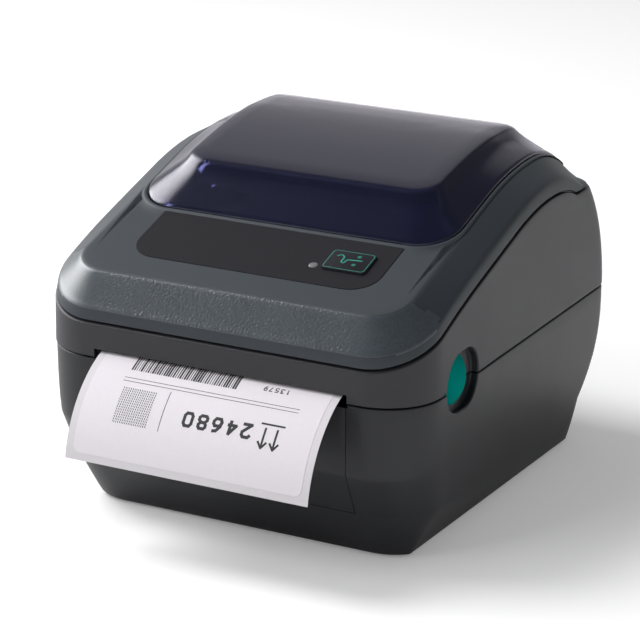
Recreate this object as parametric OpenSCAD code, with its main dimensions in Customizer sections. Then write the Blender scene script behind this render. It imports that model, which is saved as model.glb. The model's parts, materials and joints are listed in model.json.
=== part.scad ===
// Desktop label printer: lower case, lifting lid with smoked window, platen drive,
// media bay with a roll of labels, and the printed label that stands out of the slot.
// X runs across the printer, Y from front to rear, Z up from the table.

/* [Case] */
// Width over the side walls
body_w = 172.6; // [160:0.2:180]
// Depth of the case without the label that stands out
body_d = 210; // [204:1:220]
// Height from the table to the top of the window
body_h = 151; // [148:1:158]
// Height of the line where lower case and lid part
parting_z = 72; // [71:0.5:74]
// Gap between lower case and lid
seam_gap = 0.6; // [0.4:0.1:1]
// Wall of the moulded shells
wall = 2.5; // [2:0.1:3]
// Radius of the front corners seen from above
front_corner_r = 25; // [22:1:32]
// Radius of the rear corners seen from above
rear_corner_r = 15; // [10:1:20]
// Height of the crease above the tucked-in skirt
crease_z = 22.5; // [20:0.5:25]
// Angle of the deck
deck_angle = 17; // [15:0.5:18]
// Height of the rubber feet below the case
foot_h = 1.2; // [0.8:0.1:2]

/* [Window and controls] */
// Height of the window above the frame around it
window_rise = 10.2; // [8:0.2:12]
// Half of the width of the window at its foot
window_half_w = 72; // [68:0.5:74]
// Width of the feed button
button_w = 19.5; // [16:0.5:24]
// Length of the feed button up the deck
button_l = 14; // [11:0.5:16]
// Travel of the feed button
button_travel = 0.8; // [0.5:0.1:1]
// Radius of the status light
led_r = 1.9; // [1.5:0.1:2.5]
// Width of the overlay panel
overlay_w = 110; // [100:1:116]

/* [Media] */
// Width of the label liner
media_w = 108.8; // [100:0.2:110]
// Thickness of label and liner
media_t = 0.3; // [0.2:0.05:0.4]
// Length that the label stands out in front of the case
label_out = 27; // [22:1:30]
// Radius of the roll of labels
roll_r = 45; // [40:1:48]
// Outer radius of the cardboard core
core_r = 14.5; // [14:0.1:16]
// Bore radius of the cardboard core
core_bore_r = 12.7; // [12.5:0.1:12.8]
// Travel of each media guide
guide_travel = 6; // [4:0.5:8]

/* [Print drive] */
// Radius of the platen roller
platen_r = 8; // [7:0.25:9]
// Radius of the platen shaft
shaft_r = 3; // [2.5:0.25:3.5]
// Module of the gears
gear_module = 1; // [0.8:0.1:1]
// Teeth of the platen gear
platen_teeth = 18; // [16:1:20]
// Teeth of the idler gear
idler_teeth = 24; // [22:1:26]
// Teeth of the motor pinion
pinion_teeth = 12; // [11:1:14]
// Width of the gear teeth
gear_w = 5; // [4:0.5:6]
// Slack between meshing pitch circles
gear_slack = 0.3; // [0.25:0.05:0.4]

/* [Lid hinge and latches] */
// Radius of the hinge barrel
barrel_r = 8; // [7:0.5:9]
// Radius of the hinge pins
hinge_pin_r = 2; // [1.5:0.25:2.5]
// Radius of the latch button
latch_r = 10.5; // [9:0.5:11]
// Depth of the dish around the latch button
dish_depth = 3.5; // [3:0.25:4]
// Radius of the shafts on which levers and frames pivot
pivot_r = 2; // [1.5:0.25:2.5]
// Radial play of a running fit
play = 0.05; // [0.03:0.01:0.08]
// Gap around pieces that move past each other
gap = 0.4; // [0.3:0.05:0.5]

/* [Hidden] */

// Overlap that keeps cuts clean
eps = 0.05;
// Facets of true circles
$fn = 64;

// Case, seen from the front and the side
half_w = body_w / 2;
front_y = (label_out - body_d) / 2;
rear_y = front_y + body_d;
lid_z = parting_z + seam_gap;
widest_z = 60;
side_bulge_r = 204;
skirt_front_d = 25.5;
crease_d = 12.2;
tuck_z = 42;
tuck_d = 2.4;
case_front_d = 0.8;
skirt_rear_e = 14;
skirt_corner_r = 20;
rear_bulge_z = 64;
rear_bulge_r = (pow(rear_bulge_z - crease_z, 2) + pow(skirt_rear_e, 2)) / (2 * skirt_rear_e);
chamfer_front_in = 15;
chamfer_rear_in = 9.5;

// Frame of the lid: a deck that rises from the front, a crest and a rounded rear
deck_d = 8;
deck_up = 34.4;
deck_z = lid_z + deck_up;
deck_rise = tan(deck_angle);
crest_z = body_h - window_rise;
crest_over = 7.5;
crest_y = front_y + deck_d + (crest_z + crest_over - deck_z) / deck_rise;
crest_e = rear_y - crest_y;
crest_r = crest_over * cos(deck_angle) / (1 - cos(deck_angle));
bend_y = crest_y - crest_r * sin(deck_angle);
rear_round_z = 68;
bevel_h = 6;
bevel_front_more = 5;
bevel_front_y = front_y + 59;
bevel_rear_more = 3;
bevel_rear_y = front_y + 115;
band_h = 6.8;
deck_half_w = half_w - 12.3;
deck_corner_r = 14;
deck_taper = 0.9;
deck_taper_l = 50;
groove_gap = 1.1;
groove_in = 0.4;
lip_h = 4;
lip_in = wall + 0.1;
lip_t = 1.6;

// Window
window_d = 56.3;
window_e = 29;
window_corner_r = 17;
window_rear_r = 9;
window_gap = 0.3;
window_wall = 2.2;
window_lean = 14;
window_front_lean = 17;
window_rear_lean = 17;
window_seat = 1.8;
window_top_y = rear_y - 75;
window_brow_y = front_y + 74;
window_brow_rise = 12.8;
window_rear_drop = 4.5;
rear_seam_drop = 5.6;

// Deck, its overlay, button and light; all lie in the tilted plane of the deck
overlay_d = 22;
overlay_t = 0.8;
overlay_proud = 0.2;
overlay_corner_r = 12;
button_x = 38;
button_d = 39;
button_gap = 0.25;
button_proud = 1.2;
button_flange = 1.2;
recess_half_w = button_x + button_w / 2 + button_flange + gap;
deck_wall = 2.5;
led_x = button_x - button_w / 2 - 3.75;
led_d = 34;
board_drop = 12;
board_t = 1.6;

// Platen, strip and roll
platen_d = 22;
platen_y = front_y + platen_d;
strip_z = parting_z + 4;
platen_z = strip_z - gap - platen_r;
platen_half_w = media_w / 2 + 1.2;
roll_y = front_y + 127;
roll_z = 72;
roll_dy = roll_y - platen_y;
roll_dz = roll_z - strip_z;
roll_dist = sqrt(roll_dy * roll_dy + roll_dz * roll_dz);
strip_angle = asin((roll_r + gap) / roll_dist) + atan2(roll_dz, roll_dy);
slot_half_w = media_w / 2 + 2.6;
slot_low_z = parting_z - 1.5;
slot_top_z = parting_z + 4.2;

// Feet and media frame
bush_r = shaft_r + 2;
plate_in = half_w - 18.5;
plate_t = 2.5;
trough_r = roll_r + 3.5;
trough_t = 2.5;
floor_z = foot_h + wall;
frame_gap = wall + gap;
frame_rear_e = 30;
frame_top_z = parting_z - 4;
bearing_top_z = platen_z + bush_r + 2.5;
beam_z = parting_z - 24;
beam_t = 3;
foot_r = 7;
foot_y = [front_y + 46, rear_y - 36];
foot_places = [[half_w - 26, foot_y[0]], [half_w - 22, foot_y[1]]];
tab_x = plate_in - 5;
tab_w = 8;
tab_t = 3;
tab_y = [foot_y[0] + 16, foot_y[1] - 14];
screw_r = 1.5;
screw_head_r = 3;

// Guides
guide_t = 2.8;
guide_in = media_w / 2 + 0.8;
guide_r = 28;
guide_foot = 14;
hub_r = core_bore_r - gap;
hub_l = 7;
rack_t = 4;
rack_z = roll_z - trough_r - trough_t - rack_t - 3;
rack_w = 4.8;
rack_over = 20;
guide_pinion_teeth = 16;
guide_module = 1;
guide_pinion_r = guide_pinion_teeth * guide_module / 2;
rack_gap = 0.15;

// Gear train
gear_x = plate_in + plate_t + 2 * gap;
platen_gear_r = platen_teeth * gear_module / 2;
idler_r = idler_teeth * gear_module / 2;
pinion_r = pinion_teeth * gear_module / 2;
idler_dir = -40;
pinion_dir = -60;
idler_y = platen_y + (platen_gear_r + idler_r + gear_slack) * cos(idler_dir);
idler_z = platen_z + (platen_gear_r + idler_r + gear_slack) * sin(idler_dir);
pinion_y = idler_y + (idler_r + pinion_r + gear_slack) * cos(pinion_dir);
pinion_z = idler_z + (idler_r + pinion_r + gear_slack) * sin(pinion_dir);
motor_r = 17.5;
motor_l = 20;
motor_shaft_r = 1.5;

// Electronics at the rear
main_board_z = 8;
main_board_half_w = 60;
main_board_front_y = rear_y - 78;
rear_wall_y = rear_y - skirt_rear_e;
main_board_rear_y = rear_wall_y - wall - 1;
socket_out = 0.6;
usb_x = 2;
usb_w = 12;
usb_h = 11;
usb_l = 16;
serial_x = -26;
serial_w = 31;
serial_h = 12.5;
serial_l = 12;
dc_x = -54;
dc_w = 9;
dc_h = 11;
dc_l = 14;
switch_x = 40;
switch_w = 21;
switch_h = 14;
switch_l = 12;
switch_z = 13.5;
rocker_w = 17;
rocker_h = 9.6;
rocker_axle_r = 1;
rocker_tilt = 7;

// Bezel at the front
bezel_half_w = slot_half_w - 1;
bezel_gap = 0.25;
bezel_tongue = 5;
bezel_back = front_y + skirt_front_d + wall;

// Latches
latch_y = front_y + 42.5;
latch_z = parting_z + 2.5;
latch_arm = 27;
latch_pivot_z = latch_z - latch_arm;
latch_swing = 12;
latch_slide = latch_arm * sin(latch_swing);
latch_out = 1;
dish_floor = half_w - dish_depth;
dish_r = latch_r + 2;
dish_z = latch_z - 0.8;
dish_back = 1.2;
lever_t = 3.6;
pivot_boss = pivot_r + 2.5;
lever_out = dish_floor - 1.6;
lever_w = 8;
neck_r = 4;
lever_top_z = latch_z + 14;
striker_r = 1.5;
striker_y = latch_y - 6.6;
striker_z = latch_z + 9.5;
striker_in = lever_out - lever_t - 5;
latch_spring_y = latch_y + lever_w / 2;
latch_spring_l = 10;
latch_spring_z = latch_z - 14;
latch_spring_r = 2;

// Hinge
hinge_y = rear_y - barrel_r - 0.3;
hinge_z = lid_z + barrel_r + 0.1;
ear_x = 45;
ear_w = 14;
ear_r = 5;
knuckle_w = 9;

// Lid frame and printhead
frame_z = deck_z - 11;
lid_frame_t = 2.5;
lid_frame_in = lip_in + lip_t + 3 * gap;
lid_frame_front_y = front_y + 10;
lug_t = 3;
lug_r = 5;
lug_y = [front_y + 25, front_y + 69];
lug_x = half_w - wall - 8;
head_half_w = media_w / 2;
head_z = strip_z + media_t + gap;
head_front = 0.8;
head_l = 22;
head_t = 4;
sink_t = 6;
head_pin_u = 19;
head_pin_n = 6;
head_pin_y = platen_y + head_pin_u * cos(strip_angle) - head_pin_n * sin(strip_angle);
head_pin_z = head_z + head_pin_u * sin(strip_angle) + head_pin_n * cos(strip_angle);
head_spring_r = 3;
head_spring_x = 30;
head_spring_y = platen_y + 2;
head_spring_z = head_z + 13.5;
tear_y = front_y + 5.2;
tear_t = 0.8;
tear_top_z = frame_z - 4;
tear_back_y = tear_y + tear_t;
tear_half_w = media_w / 2 + 0.8;
tear_chamfer = 5;
tear_teeth = 36;
gear_root_half = 0.26;
gear_tip_half = 0.11;
platen_phase = idler_dir;
idler_phase = idler_dir + 180 + 180 / idler_teeth;
pinion_phase = pinion_dir + 180 + 180 / pinion_teeth
    - idler_teeth / pinion_teeth * (idler_phase - pinion_dir);
corner_n = 8;
side_n = 16;

// Height of deck, crest and rounded rear at a place along the lid
function top_z(y) =
    y < bend_y ? deck_z + deck_rise * (y - front_y - deck_d) :
    y < crest_y ? crest_z - crest_r + sqrt(pow(crest_r, 2) - pow(crest_y - y, 2)) :
    rear_round_z + (crest_z - rear_round_z) * sqrt(max(0, 1 - pow((y - crest_y) / crest_e, 2)));

// Seam at the rear, below the rear end of the window
rear_seam_z = top_z(rear_y - window_e) - rear_seam_drop;

// How far the bevel falls from the top to the soft edge above the band
function bevel_drop(y) = bevel_h
    + bevel_front_more * pow(max(0, (bevel_front_y - y) / 57), 2)
    + bevel_rear_more * pow(max(0, (y - bevel_rear_y) / 50), 2);

// Height of the soft edge, and of the groove under the band
function soft_z(y) = top_z(y) - bevel_drop(y);
function groove_z(y) = y < crest_y ? soft_z(y) - band_h : max(soft_z(y) - band_h, rear_seam_z);

// Height over the window's roof
window_brow_drop = body_h - top_z(window_brow_y) - window_brow_rise;
function roof_z(y) = body_h - window_brow_drop * pow(max(0, (window_top_y - y)
    / (window_top_y - window_brow_y)), 1.5)
    - window_rear_drop * pow(max(0, (y - window_top_y - 12) / 24), 2);

// Right half of a rounded outline, from its front edge round to its rear edge
function outline(hw, y0, y1, rf, rr) = concat(
    [for (k = [0:corner_n]) let (a = 90 * k / corner_n - 90)
        [hw - rf + rf * cos(a), y0 + rf + rf * sin(a)]],
    [for (k = [1:side_n - 1]) [hw, y0 + rf + (y1 - rr - y0 - rf) * k / side_n]],
    [for (k = [0:corner_n]) let (a = 90 * k / corner_n)
        [hw - rr + rr * cos(a), y1 - rr + rr * sin(a)]]);

// The case narrows towards the table at its sides, front and rear
function case_half(z) = half_w - pow(max(0, widest_z - z), 2) / (2 * side_bulge_r);
function case_front(z) = front_y + (
    z < crease_z ? skirt_front_d + (crease_d - skirt_front_d) * z / crease_z :
    z < tuck_z ? crease_d + (tuck_d - crease_d) * (z - crease_z) / (tuck_z - crease_z) :
    tuck_d + (case_front_d - tuck_d) * (z - tuck_z) / (parting_z - tuck_z));
function case_rear(z) = rear_y - rear_bulge_r + sqrt(pow(rear_bulge_r, 2)
    - pow(rear_bulge_z - max(z, crease_z), 2));
function case_corner(z) = skirt_corner_r
    + (front_corner_r - skirt_corner_r) * min(1, z / tuck_z);

// How far from the front the inside of the shell lies at a place across it
function inner_front(x, z) =
    let (r = case_corner(z) - wall, d = max(0, x - case_half(z) + wall + r))
    case_front(z) + wall + r - sqrt(r * r - d * d);

// Ring of the case at one height, moved in by a wall
function case_ring(z, t) = [for (p = outline(case_half(z) - t, case_front(z) + t,
    case_rear(z) - t, case_corner(z) - t, rear_corner_r - t)) [p[0], p[1], z]];

// How much the deck's edge draws in towards the rear
function taper(y) = deck_taper * max(0, min(1, (y - front_y - 25) / deck_taper_l));

// Closed solid through half rings of equal length, mirrored to the left
module loft(halves) {
    m = len(halves[0]);
    n = 2 * m;
    points = [for (h = halves) each concat(h, [for (k = [m - 1:-1:0]) [-h[k][0], h[k][1], h[k][2]]])];
    top = n * (len(halves) - 1);
    polyhedron(points, concat(
        [for (r = [0:len(halves) - 2], k = [0:n - 1])
            [r * n + k, (r + 1) * n + k, (r + 1) * n + (k + 1) % n]],
        [for (r = [0:len(halves) - 2], k = [0:n - 1])
            [r * n + k, (r + 1) * n + (k + 1) % n, r * n + (k + 1) % n]],
        [for (k = [0:m - 2]) [k, k + 1, n - 2 - k, n - 1 - k]],
        [for (k = [0:m - 2]) [top + k, top + n - 1 - k, top + n - 2 - k, top + k + 1]]),
        convexity = 6);
}

// The same piece on both sides
module both() {
    children();
    mirror([1, 0, 0]) children();
}

// A side view drawn as Y and Z, made solid from x0 to x1
module across(x0, x1) {
    translate([x0, 0, 0]) rotate([90, 0, 90]) linear_extrude(x1 - x0) children();
}

// A round bar along X
module rod(r, x0, x1, y, z) {
    translate([x0, y, z]) rotate([0, 90, 0]) cylinder(r = r, h = x1 - x0);
}

// A box between two corners
module block(a, b) {
    translate(a) cube(b - a);
}

// Puts flat pieces on the deck: X across, Y up the deck from its front edge, Z out of it
module on_deck() {
    translate([0, front_y + deck_d, deck_z]) rotate([deck_angle, 0, 0]) children();
}

// Distance up the deck for a distance from the front of the case
function deck_y(d) = (d - deck_d) / cos(deck_angle);

module rounded(w, l, r) {
    for (x = [-1, 1], y = [-1, 1])
        translate([x * (w / 2 - r), y * (l / 2 - r)]) circle(r);
    square([w - 2 * r, l], center = true);
    square([w, l - 2 * r], center = true);
}

// Coil spring along Z
module coil(r, wire, turns, h) {
    sides = 6;
    steps = 14;
    n = turns * steps;
    ring = [for (k = [0:sides - 1]) [cos(360 * k / sides), sin(360 * k / sides)]];
    rise = h - 2 * wire;
    points = [for (i = [0:n], p = ring) let (a = 360 * i / steps)
        [(r + wire * p[0]) * cos(a), (r + wire * p[0]) * sin(a), wire + rise * i / n + wire * p[1]]];
    polyhedron(points, concat(
        [for (i = [0:n - 1], k = [0:sides - 1])
            [i * sides + k, i * sides + (k + 1) % sides, (i + 1) * sides + (k + 1) % sides]],
        [for (i = [0:n - 1], k = [0:sides - 1])
            [i * sides + k, (i + 1) * sides + (k + 1) % sides, (i + 1) * sides + k]],
        [[for (k = [sides - 1:-1:0]) k]],
        [[for (k = [0:sides - 1]) n * sides + k]]));
}

// Gear in its side view, with a tooth towards the phase angle
module gear(teeth, phase, bore) {
    pitch = 360 / teeth;
    r = teeth * gear_module / 2;
    difference() {
        polygon([for (k = [0:teeth - 1], s = [[-gear_root_half, -1.25], [-gear_tip_half, 1],
            [gear_tip_half, 1], [gear_root_half, -1.25]])
            let (a = phase + pitch * (k + s[0]), d = r + s[1] * gear_module) [d * cos(a), d * sin(a)]]);
        circle(bore);
    }
}

// --- Lower case -----------------------------------------------------------

// Room outside the sloping skirt at the right side
module skirt_cut(t) {
    run = rear_y - skirt_rear_e - front_y - skirt_front_d;
    lean = atan((chamfer_front_in - chamfer_rear_in) / run);
    tilt = atan((case_half(crease_z) - half_w + chamfer_front_in) / crease_z);
    translate([half_w - chamfer_front_in - t / cos(tilt), front_y + skirt_front_d, 0])
        rotate([0, 0, -lean]) rotate([0, tilt, 0])
            translate([0, -body_d / 2, -body_h]) cube([body_w, 2 * body_d, 2 * body_h]);
}

module case_form(t, z0, z1) {
    levels = [z0, 11, crease_z, 32, tuck_z, 52, 62, z1];
    difference() {
        loft([for (z = levels) case_ring(z, t)]);
        both() skirt_cut(t);
    }
}

// Stadium in which the latch button stands, as a cut from depth x0 outwards
module dish_form(r, x0, x1) {
    rod(r, x0, x1, latch_y, dish_z);
    rod(r, x0, x1, latch_y + latch_slide, dish_z);
    block([x0, latch_y, dish_z - r], [x1, latch_y + latch_slide, dish_z + r]);
}

// Way of the latch neck through the floor of the dish
module neck_slot() {
    r = neck_r + gap;
    block([lever_out - wall, latch_y - r, latch_z - r - 1],
        [half_w + 1, latch_y + latch_slide + r, latch_z + r]);
}

module lower_case() {
    color("#2e3134") difference() {
        union() {
            difference() {
                case_form(0, foot_h, parting_z);
                case_form(wall, floor_z, parting_z + 1);
            }
            intersection() {
                case_form(eps, foot_h, parting_z);
                both() union() {
                    dish_form(dish_r + wall, dish_floor - dish_back, half_w);
                    block([lever_out + gap, latch_y - pivot_boss, latch_pivot_z - pivot_boss],
                        [half_w, latch_y + pivot_boss, dish_z - dish_r]);
                    block([lever_out - lever_t - 1, latch_spring_y + latch_spring_l, latch_spring_z - 5],
                        [half_w, latch_spring_y + latch_spring_l + 3, latch_spring_z + 5]);
                    block([ear_x - ear_w / 2, hinge_y - ear_r + 1, parting_z - 14],
                        [ear_x + ear_w / 2, rear_y, parting_z]);
                }
            }
            both() {
                rod(ear_r, ear_x - ear_w / 2, ear_x + ear_w / 2, hinge_y, hinge_z);
                block([ear_x - ear_w / 2, hinge_y - ear_r + 1, parting_z - 1],
                    [ear_x + ear_w / 2, hinge_y + ear_r - 1, hinge_z]);
            }
            for (x = [-1, 1], y = [main_board_front_y + 5, main_board_rear_y - 5])
                translate([x * (main_board_half_w - 6), y, foot_h + eps])
                    cylinder(r = 3, h = main_board_z - foot_h - eps);
        }
        both() {
            dish_form(dish_r, dish_floor, half_w + 1);
            neck_slot();
            rod(pivot_r, lever_out, half_w - 1.5, latch_y, latch_pivot_z);
            rod(hinge_pin_r, ear_x - ear_w, ear_x + ear_w, hinge_y, hinge_z);
            for (y = tab_y) translate([tab_x, y, 0]) {
                cylinder(r = screw_r + play, h = floor_z + 1);
                cylinder(r = screw_head_r + gap, h = foot_h + 1);
            }
            for (p = foot_places) translate([p[0], p[1], 0]) cylinder(r = foot_r, h = foot_h + 1);
        }
        block([-bezel_half_w - bezel_gap, front_y - 1, crease_z],
            [bezel_half_w + bezel_gap, bezel_back, parting_z + 1]);
        block([-slot_half_w, front_y - 1, slot_low_z], [slot_half_w, bezel_back, parting_z + 1]);
        rear_cut(usb_x, usb_w, usb_h, main_board_z + board_t);
        rear_cut(serial_x, serial_w, serial_h, main_board_z + board_t);
        rear_cut(dc_x, dc_w, dc_h, main_board_z + board_t);
        translate([0, 0, switch_z - switch_h / 2]) rear_cut(switch_x, switch_w, switch_h, 0);
    }
}

// Opening in the rear wall for a socket that stands on the board
module rear_cut(x, w, h, z) {
    block([x - w / 2 - 0.2, rear_wall_y - wall - 3, z - 0.2],
        [x + w / 2 + 0.2, rear_y, z + h + 0.2]);
}

module front_bezel() {
    color("#33363a") {
        intersection() {
            difference() {
                case_form(0, foot_h, parting_z);
                case_form(wall, foot_h, parting_z + 1);
            }
            block([-bezel_half_w, front_y - 1, crease_z + bezel_gap],
                [bezel_half_w, bezel_back, slot_low_z]);
        }
        bezel_frame(wall - eps, -bezel_gap);
        bezel_frame(wall + bezel_gap, bezel_tongue);
    }
}

// Frame behind the edges of the bezel, from depth t inwards, that reaches past them
module bezel_frame(t, reach) {
    difference() {
        intersection() {
            difference() {
                case_form(t, foot_h, parting_z);
                case_form(2 * wall, foot_h, parting_z + 1);
            }
            block([-bezel_half_w - reach, front_y - 1, crease_z - reach],
                [bezel_half_w + reach, bezel_back + wall, slot_low_z]);
        }
        block([-bezel_half_w + bezel_tongue, front_y - 1, crease_z + bezel_tongue],
            [bezel_half_w - bezel_tongue, bezel_back + wall, slot_low_z - bezel_tongue]);
    }
}

module rubber_feet() {
    color("#1c1c1c") both() for (p = foot_places)
        translate([p[0], p[1], 0]) cylinder(r = foot_r - 0.1, h = foot_h + 1);
}

module case_screws() {
    color("silver") both() for (y = tab_y) translate([tab_x, y, foot_h]) {
        cylinder(r = screw_r, h = floor_z + tab_t - foot_h - 0.5);
        difference() {
            cylinder(r = screw_head_r, h = 1);
            translate([0, 0, -eps]) cylinder(r = 1.2, h = 0.6, $fn = 6);
        }
    }
}

// --- Media frame ----------------------------------------------------------

// Front edge of the side plates at a height, behind the shell and the bezel's frame
function plate_front(z) = inner_front(plate_in + plate_t, z) + frame_gap;

module media_frame() {
    color("#3d4044") difference() {
        union() {
            both() across(plate_in, plate_in + plate_t) polygon([
                [platen_y + bush_r + 9, frame_top_z], [platen_y + bush_r + 4, bearing_top_z],
                [plate_front(parting_z), bearing_top_z], [plate_front(parting_z), parting_z],
                [plate_front(tuck_z), tuck_z], [plate_front(crease_z), crease_z],
                [plate_front(floor_z), floor_z], [rear_y - frame_rear_e - wall, floor_z],
                [rear_y - frame_rear_e, crease_z], [rear_y - frame_rear_e, frame_top_z]]);
            intersection() {
                difference() {
                    rod(trough_r + trough_t, -plate_in - eps, plate_in + eps, roll_y, roll_z);
                    rod(trough_r, -plate_in - 1, plate_in + 1, roll_y, roll_z);
                }
                block([-body_w, front_y, 0], [body_w, rear_y, roll_z - 30]);
            }
            block([-plate_in - eps, platen_y - 5, beam_z], [plate_in + eps, platen_y + 9, beam_z + beam_t]);
            block([-6, platen_y, beam_z], [6, platen_y + 16, beam_z + beam_t]);
            both() for (y = tab_y)
                block([tab_x - tab_w / 2, y - tab_w / 2, floor_z], [plate_in + eps, y + tab_w / 2, floor_z + tab_t]);
            rod(pivot_r, plate_in + plate_t - eps, gear_x + gear_w + 1, idler_y, idler_z);
            rod(pivot_r + 1.5, plate_in + plate_t - eps, gear_x - gap, idler_y, idler_z);
        }
        both() {
            rod(bush_r, plate_in - 1, plate_in + plate_t + 1, platen_y, platen_z);
            for (y = tab_y) translate([tab_x, y, 0]) cylinder(r = screw_r, h = floor_z + tab_t + 1);
        }
        rod(motor_shaft_r + 1.5, plate_in - 1, plate_in + plate_t + 1, pinion_y, pinion_z);
        translate([0, roll_y, 0]) cylinder(r = pivot_r, h = roll_z);
        for (s = [-1, 1]) guide_slot(s);
    }
}

// Slot in the trough for the stem of the guide at side s
module guide_slot(s) {
    y = s * (guide_pinion_r + rack_gap + rack_w / 2 + guide_module);
    x0 = guide_in - gap;
    x1 = guide_in + guide_t + guide_travel + gap;
    translate([s > 0 ? x0 : -x1, roll_y - y - rack_w / 2 - gap, rack_z])
        cube([x1 - x0, rack_w + 2 * gap, roll_z - rack_z - 36]);
}

// --- Platen and its drive -------------------------------------------------

module platen_roller() {
    color("#26282a") difference() {
        rod(platen_r, -platen_half_w, platen_half_w, platen_y, platen_z);
        rod(shaft_r, -platen_half_w - 1, platen_half_w + 1, platen_y, platen_z);
    }
}

module platen_shaft() {
    color("#b9bcc0") rod(shaft_r, -plate_in - plate_t - 1, gear_x + gear_w + 1, platen_y, platen_z);
}

module platen_gear() {
    color("#e6e2d6") across(gear_x, gear_x + gear_w) translate([platen_y, platen_z])
        gear(platen_teeth, platen_phase, shaft_r);
}

module platen_bearings() {
    color("#d8d3c4") both() difference() {
        union() {
            rod(bush_r, plate_in - 2, plate_in + plate_t, platen_y, platen_z);
            rod(bush_r + 1.5, plate_in - 3.5, plate_in, platen_y, platen_z);
        }
        rod(shaft_r + play, plate_in - 5, plate_in + 5, platen_y, platen_z);
    }
}

module idler_gear() {
    color("#e6e2d6") across(gear_x, gear_x + gear_w) translate([idler_y, idler_z])
        gear(idler_teeth, idler_phase, pivot_r + play);
}

module motor_pinion() {
    color("#c8a857") {
        across(gear_x, gear_x + gear_w) translate([pinion_y, pinion_z])
            gear(pinion_teeth, pinion_phase, motor_shaft_r - 0.5);
        rod(motor_shaft_r, plate_in - 8, gear_x + gear_w, pinion_y, pinion_z);
    }
}

module stepper_motor() {
    color("#8d9094") difference() {
        union() {
            rod(motor_r, plate_in - motor_l, plate_in, pinion_y, pinion_z);
            rod(motor_r - 3, plate_in - motor_l - 1.5, plate_in - motor_l + eps, pinion_y, pinion_z);
        }
        rod(motor_shaft_r + play, plate_in - 10, plate_in + 1, pinion_y, pinion_z);
    }
}

module media_sensor() {
    color("#1f2a24") block([-6, platen_y + 10, beam_z + beam_t], [6, platen_y + 15, strip_z - 1]);
}

// --- Guides, roll and strip -----------------------------------------------

// Guide at the right, seen from the front, with its rack in front of the pinion
module guide() {
    stem_y = roll_y - guide_pinion_r - rack_gap - guide_module;
    difference() {
        union() {
            across(guide_in, guide_in + guide_t) intersection() {
                union() {
                    translate([roll_y, roll_z]) circle(guide_r);
                    translate([roll_y - guide_foot, 0]) square([2 * guide_foot, roll_z]);
                }
                translate([roll_y, roll_z]) circle(trough_r - 2);
            }
            block([guide_in, stem_y - rack_w, rack_z], [guide_in + guide_t, stem_y, roll_z - 30]);
            block([-rack_over, stem_y - rack_w, rack_z], [guide_in + guide_t, stem_y, rack_z + rack_t]);
            rod(hub_r, guide_in - hub_l, guide_in + eps, roll_y, roll_z);
            for (k = [-6:rack_over / guide_module / PI + 1]) rack_tooth(k * guide_module * PI, stem_y);
        }
        rod(hub_r - 2, guide_in - hub_l - 1, guide_in + guide_t + 1, roll_y, roll_z);
    }
}

module rack_tooth(x, y) {
    pitch = guide_module * PI;
    if (x > -rack_over + pitch && x < guide_in - pitch)
        translate([x, y, rack_z]) linear_extrude(rack_t) polygon([
            [-gear_root_half * pitch, -eps], [gear_root_half * pitch, -eps],
            [gear_tip_half * pitch, 2 * guide_module], [-gear_tip_half * pitch, 2 * guide_module]]);
}

module guide_right() {
    color("#4a4d50") guide();
}

module guide_left() {
    color("#4a4d50") translate([0, 2 * roll_y, 0]) rotate([0, 0, 180]) guide();
}

module guide_pinion() {
    color("#e6e2d6") translate([0, roll_y, rack_z]) linear_extrude(rack_t) difference() {
        rotate(90 + 180 / guide_pinion_teeth) gear_2d_plain();
        circle(pivot_r + play);
    }
}

// Pinion between the racks
module gear_2d_plain() {
    pitch = 360 / guide_pinion_teeth;
    polygon([for (k = [0:guide_pinion_teeth - 1], s = [[-gear_root_half, -1.25], [-gear_tip_half, 1],
        [gear_tip_half, 1], [gear_root_half, -1.25]])
        let (a = pitch * (k + s[0]), d = guide_pinion_r + s[1] * guide_module) [d * cos(a), d * sin(a)]]);
}

module guide_pinion_pin() {
    color("silver") translate([0, roll_y, rack_z]) {
        translate([0, 0, -1 - play]) cylinder(r = pivot_r + 1.5, h = 1);
        translate([0, 0, -1]) cylinder(r = pivot_r, h = roll_z - trough_r - rack_z);
    }
}

module roll_core() {
    color("#b08d5c") difference() {
        rod(core_r, -media_w / 2, media_w / 2, roll_y, roll_z);
        rod(core_bore_r, -media_w, media_w, roll_y, roll_z);
    }
}

module label_roll() {
    color("#f2f2ee") difference() {
        rod(roll_r, -media_w / 2, media_w / 2, roll_y, roll_z);
        rod(core_r, -media_w, media_w, roll_y, roll_z);
    }
}

// The strip bends down over the lip of the slot, then hangs in a wider curl
lip_r = 20;
lip_turn = 25;
lip_out = 0.5;
curl_turn = 82;
curl_steps = 12;
curl_r = (label_out - lip_out) / (sin(curl_turn) - sin(lip_turn));
lip_y = front_y - lip_out + lip_r * sin(lip_turn);
lip_drop = lip_r * (1 - cos(lip_turn));

// Point of the strip's outer face at t below it: lip, then curl
function lip_point(a, t) = [lip_y - (lip_r - t) * sin(a), strip_z + media_t - lip_r + (lip_r - t) * cos(a)];
function curl_point(a, t) = [
    front_y - lip_out - curl_r * (sin(a) - sin(lip_turn)) + t * sin(a),
    strip_z + media_t - lip_drop - curl_r * (cos(lip_turn) - cos(a)) - t * cos(a)];
function strip_edge(t) = concat(
    [for (k = [0:4]) lip_point(lip_turn * k / 4, t)],
    [for (k = [1:curl_steps]) curl_point(lip_turn + (curl_turn - lip_turn) * k / curl_steps, t)]);

// Straight run from the nip up to the top of the roll, at t below its upper face
function web(t) = [
    [roll_y - (roll_r + gap + media_t - t) * sin(strip_angle),
        roll_z + (roll_r + gap + media_t - t) * cos(strip_angle)],
    [platen_y, strip_z + media_t - t]];

module label_strip() {
    back = strip_edge(media_t);
    color("#f6f6f3") across(-media_w / 2, media_w / 2) polygon(concat(
        web(0), strip_edge(0), [for (k = [len(back) - 1:-1:0]) back[k]], [web(media_t)[1], web(media_t)[0]]));
}

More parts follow.
